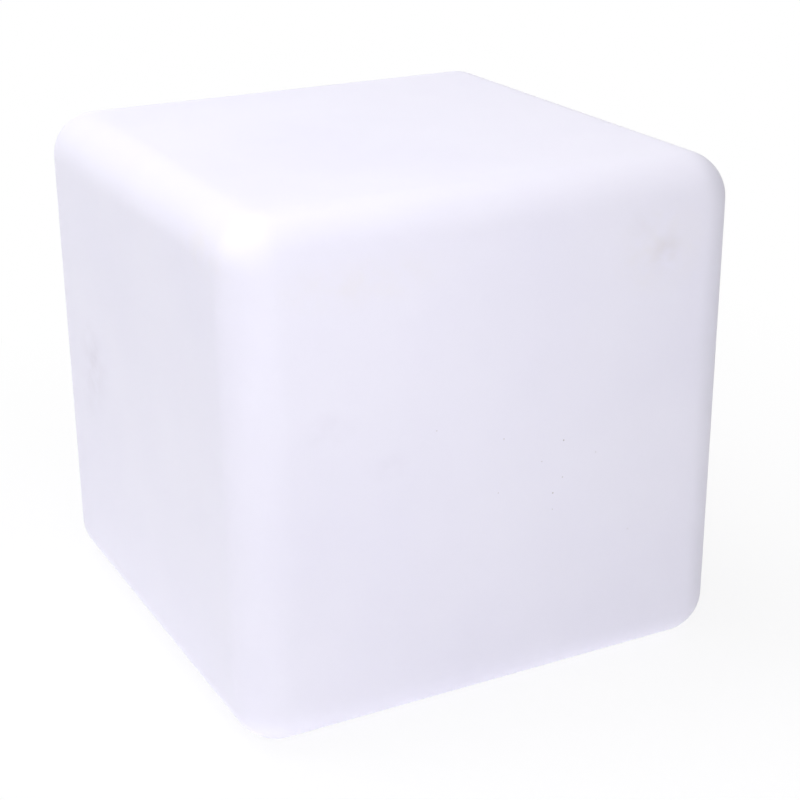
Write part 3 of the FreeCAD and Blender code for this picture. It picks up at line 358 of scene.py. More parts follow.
def makeWearGroup():
    # fine straight scratches over a metal, with dull patches
    tree, given, result = newGroup(
        "metalWear", "ShaderNodeTree",
        {
            "Colour": (0.8, 0.8, 0.8, 1.0), "Dull Colour": (0.5, 0.5, 0.5, 1.0), "Patch Size": 0.004,
            "Scratch Size": 0.0004, "Roughness": 0.3, "Seed": 0.0,
        },
        surfaceOutputs,
    )
    place = surfacePlace(tree)
    along = vectors(tree, "MULTIPLY", place, surfaceShape["alongScratch"])
    lines = noise(tree, along, given["Scratch Size"], 2.0, given["Seed"])
    patches = noise(tree, place, given["Patch Size"], 3.0, given["Seed"])
    patches = remapped(tree, patches, *surfaceShape["patch"])
    colour = mixedColour(tree, patches, given["Colour"], given["Dull Colour"])
    connect(tree, colour, result["Colour"])
    dull = times(tree, plus(tree, patches, lines), surfaceShape["dullness"])
    connect(tree, plus(tree, given["Roughness"], dull), result["Roughness"])
    connect(tree, lines, result["Height"])
    return tree


grainGroup = makeGrainGroup()
specksGroup = makeSpecksGroup()
smudgeGroup = makeSmudgeGroup()
wearGroup = makeWearGroup()


def linear(red, green, blue):
    # a colour as it looks on screen, 0 to 255, as the shaders want it
    def one(value):
        value /= 255
        return value / 12.92 if value <= 0.04045 else ((value + 0.055) / 1.055) ** 2.4
    return (one(red), one(green), one(blue), 1.0)


def newMaterial(name):
    material = bpy.data.materials.new(name)
    material.use_nodes = True
    tree = material.node_tree
    return material, tree, tree.nodes["Principled BSDF"]


def finishSurface(tree, shader, surface, bumpHeight):
    connect(tree, surface.outputs["Colour"], shader.inputs["Base Color"])
    connect(tree, surface.outputs["Roughness"], shader.inputs["Roughness"])
    bump = addNode(tree, "ShaderNodeBump", {"Height": surface.outputs["Height"], "Distance": bumpHeight})
    connect(tree, bump, shader.inputs["Normal"])


def clouded(shader, share, depth):
    # lets light in under the surface
    shader.inputs["Subsurface Weight"].default_value = share
    shader.inputs["Subsurface Scale"].default_value = depth


def plasticFinish(name, colour, second, roughness, grain=0.8, bump=0.02, clouds=18):
    # sizes are in millimetres
    material, tree, shader = newMaterial(name)
    surface = useGroup(tree, grainGroup, {
        "Colour": linear(*colour), "Second Colour": linear(*second), "Cloud Size": clouds * mm,
        "Grain Size": grain * mm, "Roughness": roughness, "Seed": float(len(name)),
    })
    finishSurface(tree, shader, surface, bump * mm)
    return material


metalSettings = {"scratch": 0.3 * mm, "scratchDepth": 0.004 * mm}


def metalFinish(name, colour, dull, roughness):
    material, tree, shader = newMaterial(name)
    surface = useGroup(tree, wearGroup, {
        "Colour": linear(*colour), "Dull Colour": linear(*dull), "Roughness": roughness,
        "Scratch Size": metalSettings["scratch"], "Seed": float(len(name)),
    })
    finishSurface(tree, shader, surface, metalSettings["scratchDepth"])
    shader.inputs["Metallic"].default_value = 1.0
    return material


# The moulded polyethylene of the cube.

cubeFinish = {
    "colour": (243, 241, 255),
    "second": (240, 238, 253),
    "grain": {"Cloud Size": 0.14, "Grain Size": 1.4 * mm, "Roughness": 0.5, "Roughness Swing": 0.05},
    "grainBump": 0.012 * mm,
    "depth": 4 * mm,
    "depthShare": 0.35,
    "depthColour": (1.0, 0.97, 1.0),
    "speckColour": (196, 190, 193),
    "smudgeColour": (196, 190, 196),
    "warmColour": (240, 235, 226),
    "smudges": [
        # centre, radii and strength, in millimetres on the faces
        ((-200, 106, 198), (30, 38, 40), 0.26),
        ((-200, 124, 174), (20, 22, 34), 0.16),
        ((132, -200, 327), (16, 20, 20), 0.22),
        ((112, -200, 350), (16, 44, 16), 0.10),
        ((-134, -200, 243), (24, 14, 16), 0.12),
        ((-92, -200, 207), (20, 10, 14), 0.12),
    ],
    "warmPatches": [
        ((-112, -200, 342), (84, 20, 22), 0.26), ((128, -200, 330), (44, 30, 40), 0.34),
        ((-200, -150, 372), (40, 60, 30), 0.34), ((-185, 40, 392), (40, 120, 24), 0.34),
    ],
    "specks": [
        # place and radius, in millimetres
        ((51, -200, 198), 0.8), ((51, -200, 169), 0.6), ((43, -200, 158), 0.8), ((1, -200, 209), 0.6),
        ((33, -200, 185), 0.5), ((-3, -200, 168), 0.5), ((79, -200, 183), 0.5), ((43, -200, 145), 0.5),
        ((-53, -200, 226), 0.5), ((110, -200, 114), 0.5),
    ],
    "faceSlack": 4 * mm,  # how far a set speck reaches along Y, as the face isn't flat
    "breakup": 18 * mm,
    "dust": {"Spacing": 25 * mm, "Speck Size": 0.4 * mm, "Share": 0.07},
}


def marksOf(tree, marks, breakup):
    mask = 0.0
    for centre, radii, strength in marks:
        mark = useGroup(tree, smudgeGroup, {
            "Centre": Vector(centre) * mm, "Radii": Vector(radii) * mm, "Breakup": breakup,
            "Strength": strength,
        })
        mask = maths(tree, "MAXIMUM", mask, mark.outputs["Mask"])
    return mask


def makeCubeFinish(settings):
    material, tree, shader = newMaterial("whitePolyethylene")
    surface = useGroup(tree, grainGroup, {
        "Colour": linear(*settings["colour"]), "Second Colour": linear(*settings["second"]),
        **settings["grain"],
    })
    marks = marksOf(tree, settings["smudges"], settings["breakup"])
    warmth = marksOf(tree, settings["warmPatches"], settings["breakup"])
    dust = useGroup(tree, specksGroup, settings["dust"]).outputs["Mask"]
    place = surfacePlace(tree)
    for centre, radius in settings["specks"]:
        offset = vectors(tree, "SUBTRACT", place, Vector(centre) * mm)
        size = Vector((radius * mm, settings["faceSlack"], radius * mm))
        away = vectors(tree, "LENGTH", vectors(tree, "DIVIDE", offset, size))
        dust = maths(tree, "MAXIMUM", dust, remapped(tree, away, 1.0, 0.5))
    colour = surface.outputs["Colour"]
    for mask, tint in ((warmth, "warmColour"), (marks, "smudgeColour"), (dust, "speckColour")):
        colour = mixedColour(tree, mask, colour, linear(*settings[tint]))
    finishSurface(tree, shader, surface, settings["grainBump"])
    connect(tree, colour, shader.inputs["Base Color"])
    clouded(shader, settings["depthShare"], settings["depth"])
    shader.inputs["Subsurface Radius"].default_value = settings["depthColour"]
    shader.inputs["IOR"].default_value = 1.5
    return material


plastics = {
    # slot: colour, second colour, roughness, and the sizes that differ from the usual ones
    "white_abs": ((232, 231, 238), (226, 225, 233), 0.5, {"bump": 0.05, "grain": 0.6}),
    "grey_abs": ((150, 152, 156), (142, 144, 148), 0.5, {"bump": 0.04}),
    "opal_acrylic": ((244, 243, 246), (240, 239, 243), 0.22, {"bump": 0.003}),
    "black_rubber": ((34, 34, 36), (46, 46, 48), 0.68, {"bump": 0.03, "clouds": 6}),
    "grey_rubber": ((120, 121, 124), (110, 111, 115), 0.66, {"bump": 0.03}),
    "black_plastic": ((30, 31, 33), (38, 39, 41), 0.4, {"clouds": 8}),
    "white_board": ((238, 238, 234), (230, 230, 226), 0.34, {"bump": 0.006}),
    "green_board": ((22, 92, 52), (16, 76, 44), 0.3, {"bump": 0.01, "clouds": 3}),
    "emitter": ((238, 214, 92), (226, 198, 70), 0.35, {"clouds": 1}),
    "cell_wrap": ((38, 74, 148), (32, 66, 136), 0.3, {"bump": 0.004}),
    "foam": ((70, 70, 72), (52, 52, 54), 0.95, {"bump": 0.2, "grain": 0.5, "clouds": 1}),
    "smoke_lens": ((26, 22, 30), (34, 28, 38), 0.12, {"bump": 0.001}),
    "indicator_lens": ((214, 60, 44), (196, 44, 34), 0.15, {"bump": 0.001}),
    "red_wire": ((176, 24, 22), (160, 18, 18), 0.42, {"bump": 0.006, "clouds": 2}),
    "black_wire": ((24, 24, 25), (34, 34, 35), 0.42, {"bump": 0.006, "clouds": 2}),
    "white_wire": ((228, 226, 220), (216, 214, 208), 0.42, {"bump": 0.006, "clouds": 2}),
    "grey_wire": ((140, 140, 142), (128, 128, 130), 0.42, {"bump": 0.006, "clouds": 2}),
    "cream_plastic": ((224, 214, 186), (214, 204, 176), 0.42, {"bump": 0.01}),
}
metals = {
    # slot: colour, dull colour, roughness
    "stainless": ((200, 200, 203), (160, 160, 164), 0.28),
    "brass": ((212, 180, 104), (160, 124, 66), 0.3),
    "nickel": ((196, 190, 178), (150, 143, 130), 0.25),
}
acrylicSettings = {"share": 0.4, "depth": 6 * mm}


def finishName(slot):
    first, *rest = slot.split("_")
    return first + "".join(word.title() for word in rest)


def makeFinishes():
    made = {"white_polyethylene": makeCubeFinish(cubeFinish)}
    for slot, (colour, second, roughness, sizes) in plastics.items():
        made[slot] = plasticFinish(finishName(slot), colour, second, roughness, **sizes)
    for slot, values in metals.items():
        made[slot] = metalFinish(finishName(slot), *values)
    shader = made["opal_acrylic"].node_tree.nodes["Principled BSDF"]
    clouded(shader, acrylicSettings["share"], acrylicSettings["depth"])
    return made


finishes = makeFinishes()
print("finishes made:", len(finishes))


slots = {part["node"]: part["material_slot"] for part in frame["record"]["subparts"]}


def finishNodes():
    for name, piece in nodes.items():
        finish = finishes[slots[name]]
        for holder in piece.material_slots:
            holder.material = finish
        if not piece.material_slots:
            piece.data.materials.append(finish)


# The moulded cube: one sheet of faces, rounded by rule, whose underside is drawn in to make the recess.

cubeSettings = {
    "recessGap": 5 * mm,
    "mouthGap": 3 * mm,
    "sizes": {
        "Edge Radius": 35 * mm, "Wall": 3.5 * mm, "Lip": 5 * mm, "Corner": 3 * mm, "Dish": 0.9 * mm,
        "Ripple": 0.25 * mm, "Ripple Size": 0.16, "Flat Cells": 60, "Edge Cells": 9, "Flat Rings": 8,
        "Boss Radius": 7.5 * mm, "Seed": 4.0,
    },
    "profileSteps": 6,
    "bossSides": 48,
    "halfCell": 0.5,
    "cellSlack": 0.1,
    "recessStart": 0.999,
}


def makeSpreadGroup():
    # how far out a row of points lies: evenly on the flat, then by equal angles round the edge
    tree, given, result = newGroup(
        "cellSpread", "GeometryNodeTree",
        {"Cells": 0.0, "Half Flat": 1.0, "Edge Cells": 1.0, "Core": 1.0, "Radius": 1.0},
        {"Offset": "Float"},
    )
    count = maths(tree, "ABSOLUTE", given["Cells"])
    share = divided(tree, maths(tree, "MINIMUM", count, given["Half Flat"]), given["Half Flat"])
    over = maths(tree, "MAXIMUM", minus(tree, count, given["Half Flat"]), 0.0)
    angle = times(tree, divided(tree, over, given["Edge Cells"]), math.pi / 4)
    bend = times(tree, given["Radius"], maths(tree, "TANGENT", angle))
    whole = plus(tree, times(tree, share, given["Core"]), bend)
    connect(tree, times(tree, whole, maths(tree, "SIGN", given["Cells"])), result["Offset"])
    return tree


def spotOf(tree):
    return shapeNode(tree, "InputPosition").outputs[0]


def placed(tree, shape, place):
    return shapeNode(tree, "SetPosition", {"Geometry": shape, "Position": place})


def moved(tree, shape, **change):
    return shapeNode(tree, "Transform", {"Geometry": shape, **change})


def merged(tree, shape, distance):
    return shapeNode(tree, "MergeByDistance", {"Geometry": shape, "Distance": distance})


def smoothed(tree, shape):
    return shapeNode(tree, "SetShadeSmooth", {"Geometry": shape, "Shade Smooth": True})


def together(tree, *shapes):
    join = shapeNode(tree, "JoinGeometry")
    for shape in shapes:
        connect(tree, shape, join.inputs[0])
    return join


def cutBy(tree, shape, *cutters):
    cut = shapeNode(tree, "MeshBoolean", {"Mesh 1": shape}, operation="DIFFERENCE", solver="EXACT")
    for cutter in cutters:
        connect(tree, cutter, cut.inputs["Mesh 2"])
    return cut.outputs["Mesh"]


def pickedPlace(tree, test, yes, no):
    inputs = {"Switch": test, "False": no, "True": yes}
    return shapeNode(tree, "Switch", inputs, input_type="VECTOR")


def atPoint(tree, shape, index):
    # where the point of a shape with this number lies
    inputs = {"Geometry": shape, "Value": spotOf(tree), "Index": index}
    return shapeNode(tree, "SampleIndex", inputs, data_type="FLOAT_VECTOR", domain="POINT", clamp=True)


def onPoints(tree, points, shape, **turn):
    inputs = {"Points": points, "Instance": shape, **turn}
    return shapeNode(tree, "InstanceOnPoints", inputs)


def handOut(tree, shape, given, result):
    # every tree ends like this: real geometry with its material
    real = shapeNode(tree, "RealizeInstances", {"Geometry": shape})
    done = shapeNode(tree, "SetMaterial", {"Geometry": real, "Material": given["Material"]})
    connect(tree, done, result["Geometry"])


def perPoint(tree, values, kind="FLOAT"):
    switch = shapeNode(tree, "IndexSwitch", data_type=kind)
    while len(switch.index_switch_items) < len(values):
        switch.index_switch_items.new()
    connect(tree, shapeNode(tree, "InputIndex"), switch.inputs["Index"])
    for i, value in enumerate(values):
        connect(tree, value, switch.inputs[str(i)])
    return switch.outputs[0]


def pointCount(tree, curve):
    size = shapeNode(tree, "AttributeDomainSize", {"Geometry": curve}, component="CURVE")
    return size.outputs["Point Count"]


def newPieceTree(name, sizes):
    inputs = {"Geometry": "Geometry", **sizes, "Material": "Material"}
    return newGroup(name, "GeometryNodeTree", inputs, {"Geometry": "Geometry"})


def polyline(tree, points):
    # an open run through points whose coordinates are sockets, as a curve
    places = perPoint(tree, [joined(tree, x, 0.0, z) for x, z in points], "VECTOR")
    line = shapeNode(tree, "MeshLine", {"Count": len(points)})
    return shapeNode(tree, "MeshToCurve", {"Mesh": placed(tree, line, places)}).outputs[0]


def filleted(tree, points, rounds, steps):
    inputs = {"Curve": polyline(tree, points), "Count": steps, "Radius": perPoint(tree, rounds)}
    return shapeNode(tree, "FilletCurve", inputs, mode="POLY").outputs[0]


def makeCubeTree(settings, sizes):
    tree, given, result = newPieceTree("mouldedCube", sizes)
    spread, halfCell = makeSpreadGroup(), settings["halfCell"]
    halfFlat = halved(tree, given["Flat Cells"])
    cells = plus(tree, given["Flat Cells"], times(tree, given["Edge Cells"], 2.0))
    points = plus(tree, cells, 1.0)
    sides = {f"Vertices {axis}": points for axis in "XYZ"}
    block = shapeNode(tree, "MeshCube", {"Size": (1.0, 1.0, 1.0), **sides})
    start = scaled(tree, spotOf(tree), cells)
    block = shapeNode(tree, "CaptureAttribute", {"Geometry": block})
    item = block.capture_items.new("VECTOR", "cell")
    connect(tree, start, block.inputs[item.name])
    cell = block.outputs[item.name]
    across = split(tree, cell)

    # rounded block: each point goes out from the nearest point of the core by the edge radius
    halfWidth = minus(tree, halved(tree, given["Width"]), given["Edge Radius"])
    halfHeight = minus(tree, halved(tree, given["Height"]), given["Edge Radius"])
    core = joined(tree, halfWidth, halfWidth, halfHeight)
    offsets = []
    for axis, half in zip(across, (halfWidth, halfWidth, halfHeight)):
        spreadNode = useGroup(tree, spread, {
            "Cells": axis, "Half Flat": halfFlat, "Edge Cells": given["Edge Cells"], "Core": half,
            "Radius": given["Edge Radius"],
        })
        offsets.append(spreadNode.outputs[0])
    wide = joined(tree, *offsets)
    nearest = vectors(tree, "MINIMUM", vectors(tree, "MAXIMUM", wide, scaled(tree, core, -1.0)), core)
    outward = vectors(tree, "NORMALIZE", vectors(tree, "SUBTRACT", wide, nearest))
    onBlock = vectors(tree, "ADD", nearest, scaled(tree, outward, given["Edge Radius"]))
    lifted = vectors(tree, "ADD", onBlock, joined(tree, z=halved(tree, given["Height"])))

    # underside: square rings of points, from the flat's edge inwards, follow the recess's profile
    lipStart = plus(tree, given["Recess Radius"], times(tree, given["Lip"], 2.0))
    radii = plus(tree, given["Recess Radius"], given["Mouth Radius"])
    ceilingMiddle = halved(tree, radii)
    profile = filleted(tree, [
        (lipStart, 0.0), (given["Recess Radius"], 0.0), (given["Recess Radius"], given["Recess Depth"]),
        (ceilingMiddle, given["Recess Depth"]), (given["Mouth Radius"], given["Recess Depth"]),
    ], [0.0, given["Lip"], given["Corner"], 0.0, 0.0], settings["profileSteps"])
    allRings = plus(tree, given["Flat Rings"], pointCount(tree, profile))
    lastRing = minus(tree, allRings, 1.0)
    ring = maths(tree, "MAXIMUM", maths(tree, "ABSOLUTE", across[0]), maths(tree, "ABSOLUTE", across[1]))
    depth = minus(tree, halfFlat, ring)
    secondRow = minus(tree, halfCell, halved(tree, cells))
    lowest = maths(tree, "LESS_THAN", across[2], secondRow)
    onFlat = maths(tree, "GREATER_THAN", depth, -settings["cellSlack"])
    under = times(tree, lowest, onFlat)
    onSquare = vectors(tree, "DIVIDE", cell, joined(tree, *[maths(tree, "MAXIMUM", ring, halfCell)] * 3))
    onSquare = vectors(tree, "MULTIPLY", onSquare, (1.0, 1.0, 0.0))
    aim = vectors(tree, "NORMALIZE", vectors(tree, "TANGENT", scaled(tree, onSquare, math.pi / 4)))
    inset = divided(tree, depth, given["Flat Rings"])
    inputs = {0: inset, 4: scaled(tree, onSquare, halfWidth), 5: scaled(tree, aim, lipStart)}
    flat = addNode(tree, "ShaderNodeMix", inputs, data_type="VECTOR", clamp_factor=True)
    step = maths(tree, "ROUND", minus(tree, depth, given["Flat Rings"]))
    reach = split(tree, atPoint(tree, profile, step))
    drawnIn = vectors(tree, "ADD", scaled(tree, aim, reach[0]), joined(tree, z=reach[2]))
    inRecess = maths(tree, "GREATER_THAN", inset, settings["recessStart"])
    below = pickedPlace(tree, inRecess, drawnIn, flat.outputs[1])
    outer = placed(tree, block, pickedPlace(tree, under, below, lifted))
    past = maths(tree, "GREATER_THAN", depth, plus(tree, lastRing, halfCell))
    hole = times(tree, under, past)
    inputs = {"Geometry": outer, "Selection": hole}
    outer = shapeNode(tree, "DeleteGeometry", inputs, domain="POINT")
    outer = merged(tree, outer, weldDistance)

    # cooling draws the big faces in a little, and leaves them slightly uneven
    spot, ones = spotOf(tree), (1.0, 1.0, 1.0)
    centred = vectors(tree, "SUBTRACT", spot, joined(tree, z=halved(tree, given["Height"])))
    share = vectors(tree, "ABSOLUTE", vectors(tree, "DIVIDE", centred, core))
    share = vectors(tree, "MINIMUM", share, ones)
    left = split(tree, vectors(tree, "SUBTRACT", ones, vectors(tree, "MULTIPLY", share, share)))
    pairs = [times(tree, left[i], left[(i + 1) % 3]) for i in range(3)]
    middle = plus(tree, plus(tree, pairs[0], pairs[1]), pairs[2])
    wave = noise(tree, spot, given["Ripple Size"], 1.0, given["Seed"])
    wave = times(tree, wave, given["Ripple"])
    drawn = plus(tree, times(tree, middle, given["Dish"]), wave)
    above = remapped(tree, split(tree, spot)[2], 0.0, given["Edge Radius"])
    drawn = times(tree, times(tree, drawn, above), -1.0)
    push = scaled(tree, shapeNode(tree, "InputNormal").outputs[0], drawn)
    outer = shapeNode(tree, "SetPosition", {"Geometry": outer, "Offset": push})

    # the wall has an even thickness: the skin again, moved inwards and turned over
    thick = times(tree, given["Wall"], -1.0)
    inputs = {"Mesh": outer, "Offset Scale": thick, "Individual": False}
    inner = shapeNode(tree, "ExtrudeMesh", inputs)
    inner = shapeNode(tree, "FlipFaces", {"Mesh": inner})
    closed = merged(tree, together(tree, inner, outer), weldDistance)

    # bosses over the recess's ceiling, one at each of the points that came in
    bossHeight = minus(tree, given["Boss Top"], given["Recess Depth"])
    bossBase = plus(tree, given["Recess Depth"], halved(tree, given["Wall"]))
    boss = shapeNode(tree, "MeshCylinder", {
        "Vertices": settings["bossSides"], "Radius": given["Boss Radius"], "Depth": bossHeight,
    })
    centre = plus(tree, bossBase, halved(tree, bossHeight))
    boss = moved(tree, boss, Translation=joined(tree, z=centre))
    bosses = onPoints(tree, given["Geometry"], boss)
    handOut(tree, together(tree, bosses, smoothed(tree, closed)), given, result)
    return tree


def standFor(piece, node, body):
    # a piece that takes a node's place, body and finish
    piece.data.materials.clear()
    piece.data.materials.append(finishes[slots[node]])
    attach(piece, body)
    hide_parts(node)


def centreOf(low, high, z=0):
    return Vector(((low.x + high.x) / 2, (low.y + high.y) / 2, z))


def makeCube(settings):
    low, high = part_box("shell")
    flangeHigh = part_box("base_housing")[1]
    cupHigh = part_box("deck")[1]
    insertLow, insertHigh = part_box("threaded_inserts")
    sizes = {
        **settings["sizes"],
        "Width": high.x - low.x,
        "Height": high.z - low.z,
        "Recess Radius": flangeHigh.x + settings["recessGap"],
        "Recess Depth": insertLow.z,
        "Mouth Radius": cupHigh.x + settings["mouthGap"],
        "Boss Top": insertHigh.z + settings["sizes"]["Wall"],
    }
    spots = [centreOf(*corners) for corners in islands("threaded_inserts")]
    cube = grow("mouldedCube", "shell", makeCubeTree(settings, sizes), sizes, spots)
    standFor(cube, "shell", "cube")


makeCube(cubeSettings)


# Turned pieces of the underside: profiles of (radius, height, rounding) in millimetres.

roundSteps = 5
roundMargin = 0.25
sharpAngle = math.radians(40)


def rounded(profile, closed):
    corners = [(Vector(corner[:2]), corner[2]) for corner in profile]
    run = []
    for i, (here, bend) in enumerate(corners):
        if not bend or (not closed and i in (0, len(corners) - 1)):
            run.append(here)
            continue
        before, after = corners[i - 1][0], corners[(i + 1) % len(corners)][0]
        into, out = (here - before).normalized(), (after - here).normalized()
        setback = bend * math.tan(into.angle(out) / 2)
        start, end = here - into * setback, here + out * setback
        run.append(start - into * bend * roundMargin)
        for step in range(roundSteps + 1):
            share = step / roundSteps
            run.append(start.lerp(here, share).lerp(here.lerp(end, share), share))
        run.append(end + out * bend * roundMargin)
    return run


def turned(name, profile, centre, steps, closed):
    run = rounded(profile, closed)
    form = bmesh.new()
    rings = []
    for radius, height in run:
        count = steps if radius > 0 else 1
        angles = [2 * math.pi * i / steps for i in range(count)]
        rings.append([
            form.verts.new(Vector((radius * math.cos(a), radius * math.sin(a), height)) * mm + Vector(centre))
            for a in angles
        ])
    pairs = list(zip(rings, rings[1:] + rings[:1])) if closed else list(zip(rings, rings[1:]))
    for low, high in pairs:
        for i in range(steps):
            j = (i + 1) % steps
            corners = [low[i % len(low)], low[j % len(low)], high[j % len(high)], high[i % len(high)]]
            form.faces.new(list(dict.fromkeys(corners)))
    bmesh.ops.recalc_face_normals(form, faces=form.faces)
    mesh = smoothMesh(name, form)
    mesh.set_sharp_from_angle(angle=sharpAngle)
    return newPiece(name, mesh)


def middleOf(node):
    return centreOf(*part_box(node))


turnedPieces = {
    # node: piece, body, steps round the axis, whether the profile is a ring, and the profile
    "switch_button": ("switchCap", "button", 96, False, [
        (0, 8.85, 0), (2.2, 8.7, 0.3), (2.35, 8.92, 0.08), (2.6, 8.92, 0.08), (2.75, 8.6, 0.2),
        (3.5, 8.5, 0.4), (4.2, 8.7, 0.5), (4.2, 13.6, 0), (4.8, 13.6, 0.1), (4.8, 15.0, 0.1),
        (1.5, 15.0, 0), (1.5, 22.7, 0.3), (0, 22.7, 0),
    ]),
    "switch_body": ("switchBezel", "cube", 96, True, [
        (4.4, 10.5, 0.25), (6.4, 10.5, 0.4), (7.5, 11.5, 0.5), (7.5, 12.5, 0.12), (5.95, 12.5, 0),
        (5.95, 26.5, 0.2), (5.0, 26.5, 0.15), (5.0, 13.6, 0), (4.4, 13.6, 0.1),
    ]),
    "charge_indicator": ("chargeLens", "cube", 48, False, [
        (0, 13.4, 0), (0.9, 13.5, 0.6), (1.5, 14.1, 0.5), (1.5, 16.5, 0), (1.9, 16.5, 0.1),
        (1.9, 17.5, 0.1), (1.5, 17.5, 0), (1.5, 21.0, 0.2), (0, 21.0, 0),
    ]),
    "jack_pin": ("socketPin", "cube", 48, False, [
        (0, 18.0, 0), (0.62, 18.0, 0.2), (1.05, 18.5, 0.3), (1.05, 36.0, 0), (0, 36.0, 0),
    ]),
}


def makeTurned(pieces):
    for node, (name, body, steps, ring, profile) in pieces.items():
        # the button moves along its switch's axis
        axis = middleOf("switch_body" if node == "switch_button" else node)
        standFor(turned(name, profile, axis, steps, ring), node, body)


makeTurned(turnedPieces)


# Moulded pieces of the underside: the node's own form, with every sharp edge broken by a small round.

def applied(piece):
    graph = bpy.context.evaluated_depsgraph_get()
    mesh = bpy.data.meshes.new_from_object(piece.evaluated_get(graph), depsgraph=graph)
    name = piece.name
    bpy.data.objects.remove(piece)
    return newPiece(name, mesh)


flatAngle = math.radians(1)
easedAngle = math.radians(38)
easedSteps = 3


def easedCopy(name, node, width):
    form = welded(nodes[node].data)
    bmesh.ops.dissolve_limit(form, angle_limit=flatAngle, verts=form.verts, edges=form.edges)
    piece = newPiece(name, smoothMesh(name, form))
    ease = piece.modifiers.new("ease", "BEVEL")
    ease.width = width
    ease.segments = easedSteps
    ease.limit_method = "ANGLE"
    ease.angle_limit = easedAngle
    ease.harden_normals = True
    return applied(piece)


easedPieces = {
    # node: piece, body, width of the round
    "base_housing": ("lampUnitBase", "cube", 0.35 * mm),
    "socket_cover": ("socketFlap", "cover", 0.3 * mm),
    "cover_anchor": ("flapAnchor", "cube", 0.3 * mm),
    "jack_body": ("socketBody", "cube", 0.2 * mm),
}


def makeEased(pieces):
    for node, (name, body, width) in pieces.items():
        standFor(easedCopy(name, node, width), node, body)


makeEased(easedPieces)


# Repeated pieces, each grown by a geometry tree from the places of the node's own solids.

def pointGrid(tree, rows, columns):
    # a grid one unit wide about the origin, and where its points lie
    grid = shapeNode(tree, "MeshGrid", {
        "Size X": 1.0, "Size Y": 1.0, "Vertices X": rows, "Vertices Y": columns,
    })
    return grid, split(tree, spotOf(tree))


def wrapped(tree, grid, reach, turn, lift):
    # a grid bent once round the Z axis, at the given distances from it
    angle = times(tree, turn, 2 * math.pi)
    x = times(tree, reach, maths(tree, "COSINE", angle))
    y = times(tree, reach, maths(tree, "SINE", angle))
    return merged(tree, placed(tree, grid, joined(tree, x, y, lift)), fineWeld)


def makeTurnedGroup():
    # a profile in the XZ plane, taken round the Z axis
    tree, given, result = newGroup(
        "turnedProfile", "GeometryNodeTree", {"Profile": "Geometry", "Segments": 48},
        {"Geometry": "Geometry"},
    )
    rows = pointCount(tree, given["Profile"])
    grid, cell = pointGrid(tree, rows, plus(tree, given["Segments"], 1.0))
    row = times(tree, plus(tree, cell[0], 0.5), minus(tree, rows, 1.0))
    reach = split(tree, atPoint(tree, given["Profile"], maths(tree, "ROUND", row)))
    connect(tree, wrapped(tree, grid, reach[0], cell[1], reach[2]), result["Geometry"])
    return tree


def swept(tree, path, radius, sides):
    section = shapeNode(tree, "CurvePrimitiveCircle", {"Resolution": sides, "Radius": radius})
    inputs = {"Curve": path, "Profile Curve": section, "Fill Caps": True}
    return shapeNode(tree, "CurveToMesh", inputs)


def outwardFaces(piece):
    form = bmesh.new()
    form.from_mesh(piece.data)
    bmesh.ops.recalc_face_normals(form, faces=form.faces)
    form.to_mesh(piece.data)
    form.free()
    piece.data.set_sharp_from_angle(angle=sharpAngle)


turnedGroup = makeTurnedGroup()

screwShape = {
    # shares of the head's radius
    "Head Radius": {"crown": 0.72, "wingLength": 1.16, "wingWidth": 0.24},
    # shares of the head's height
    "Head Height": {"rim": 0.62, "footRound": 0.12, "rimRound": 0.4, "wingHeight": 0.7, "wingLift": 0.82},
    "wingTip": 0.45,
    "profileSteps": 5,
    "segments": 48,
    "columns": 25,
    "endRow": 0.4999,
}


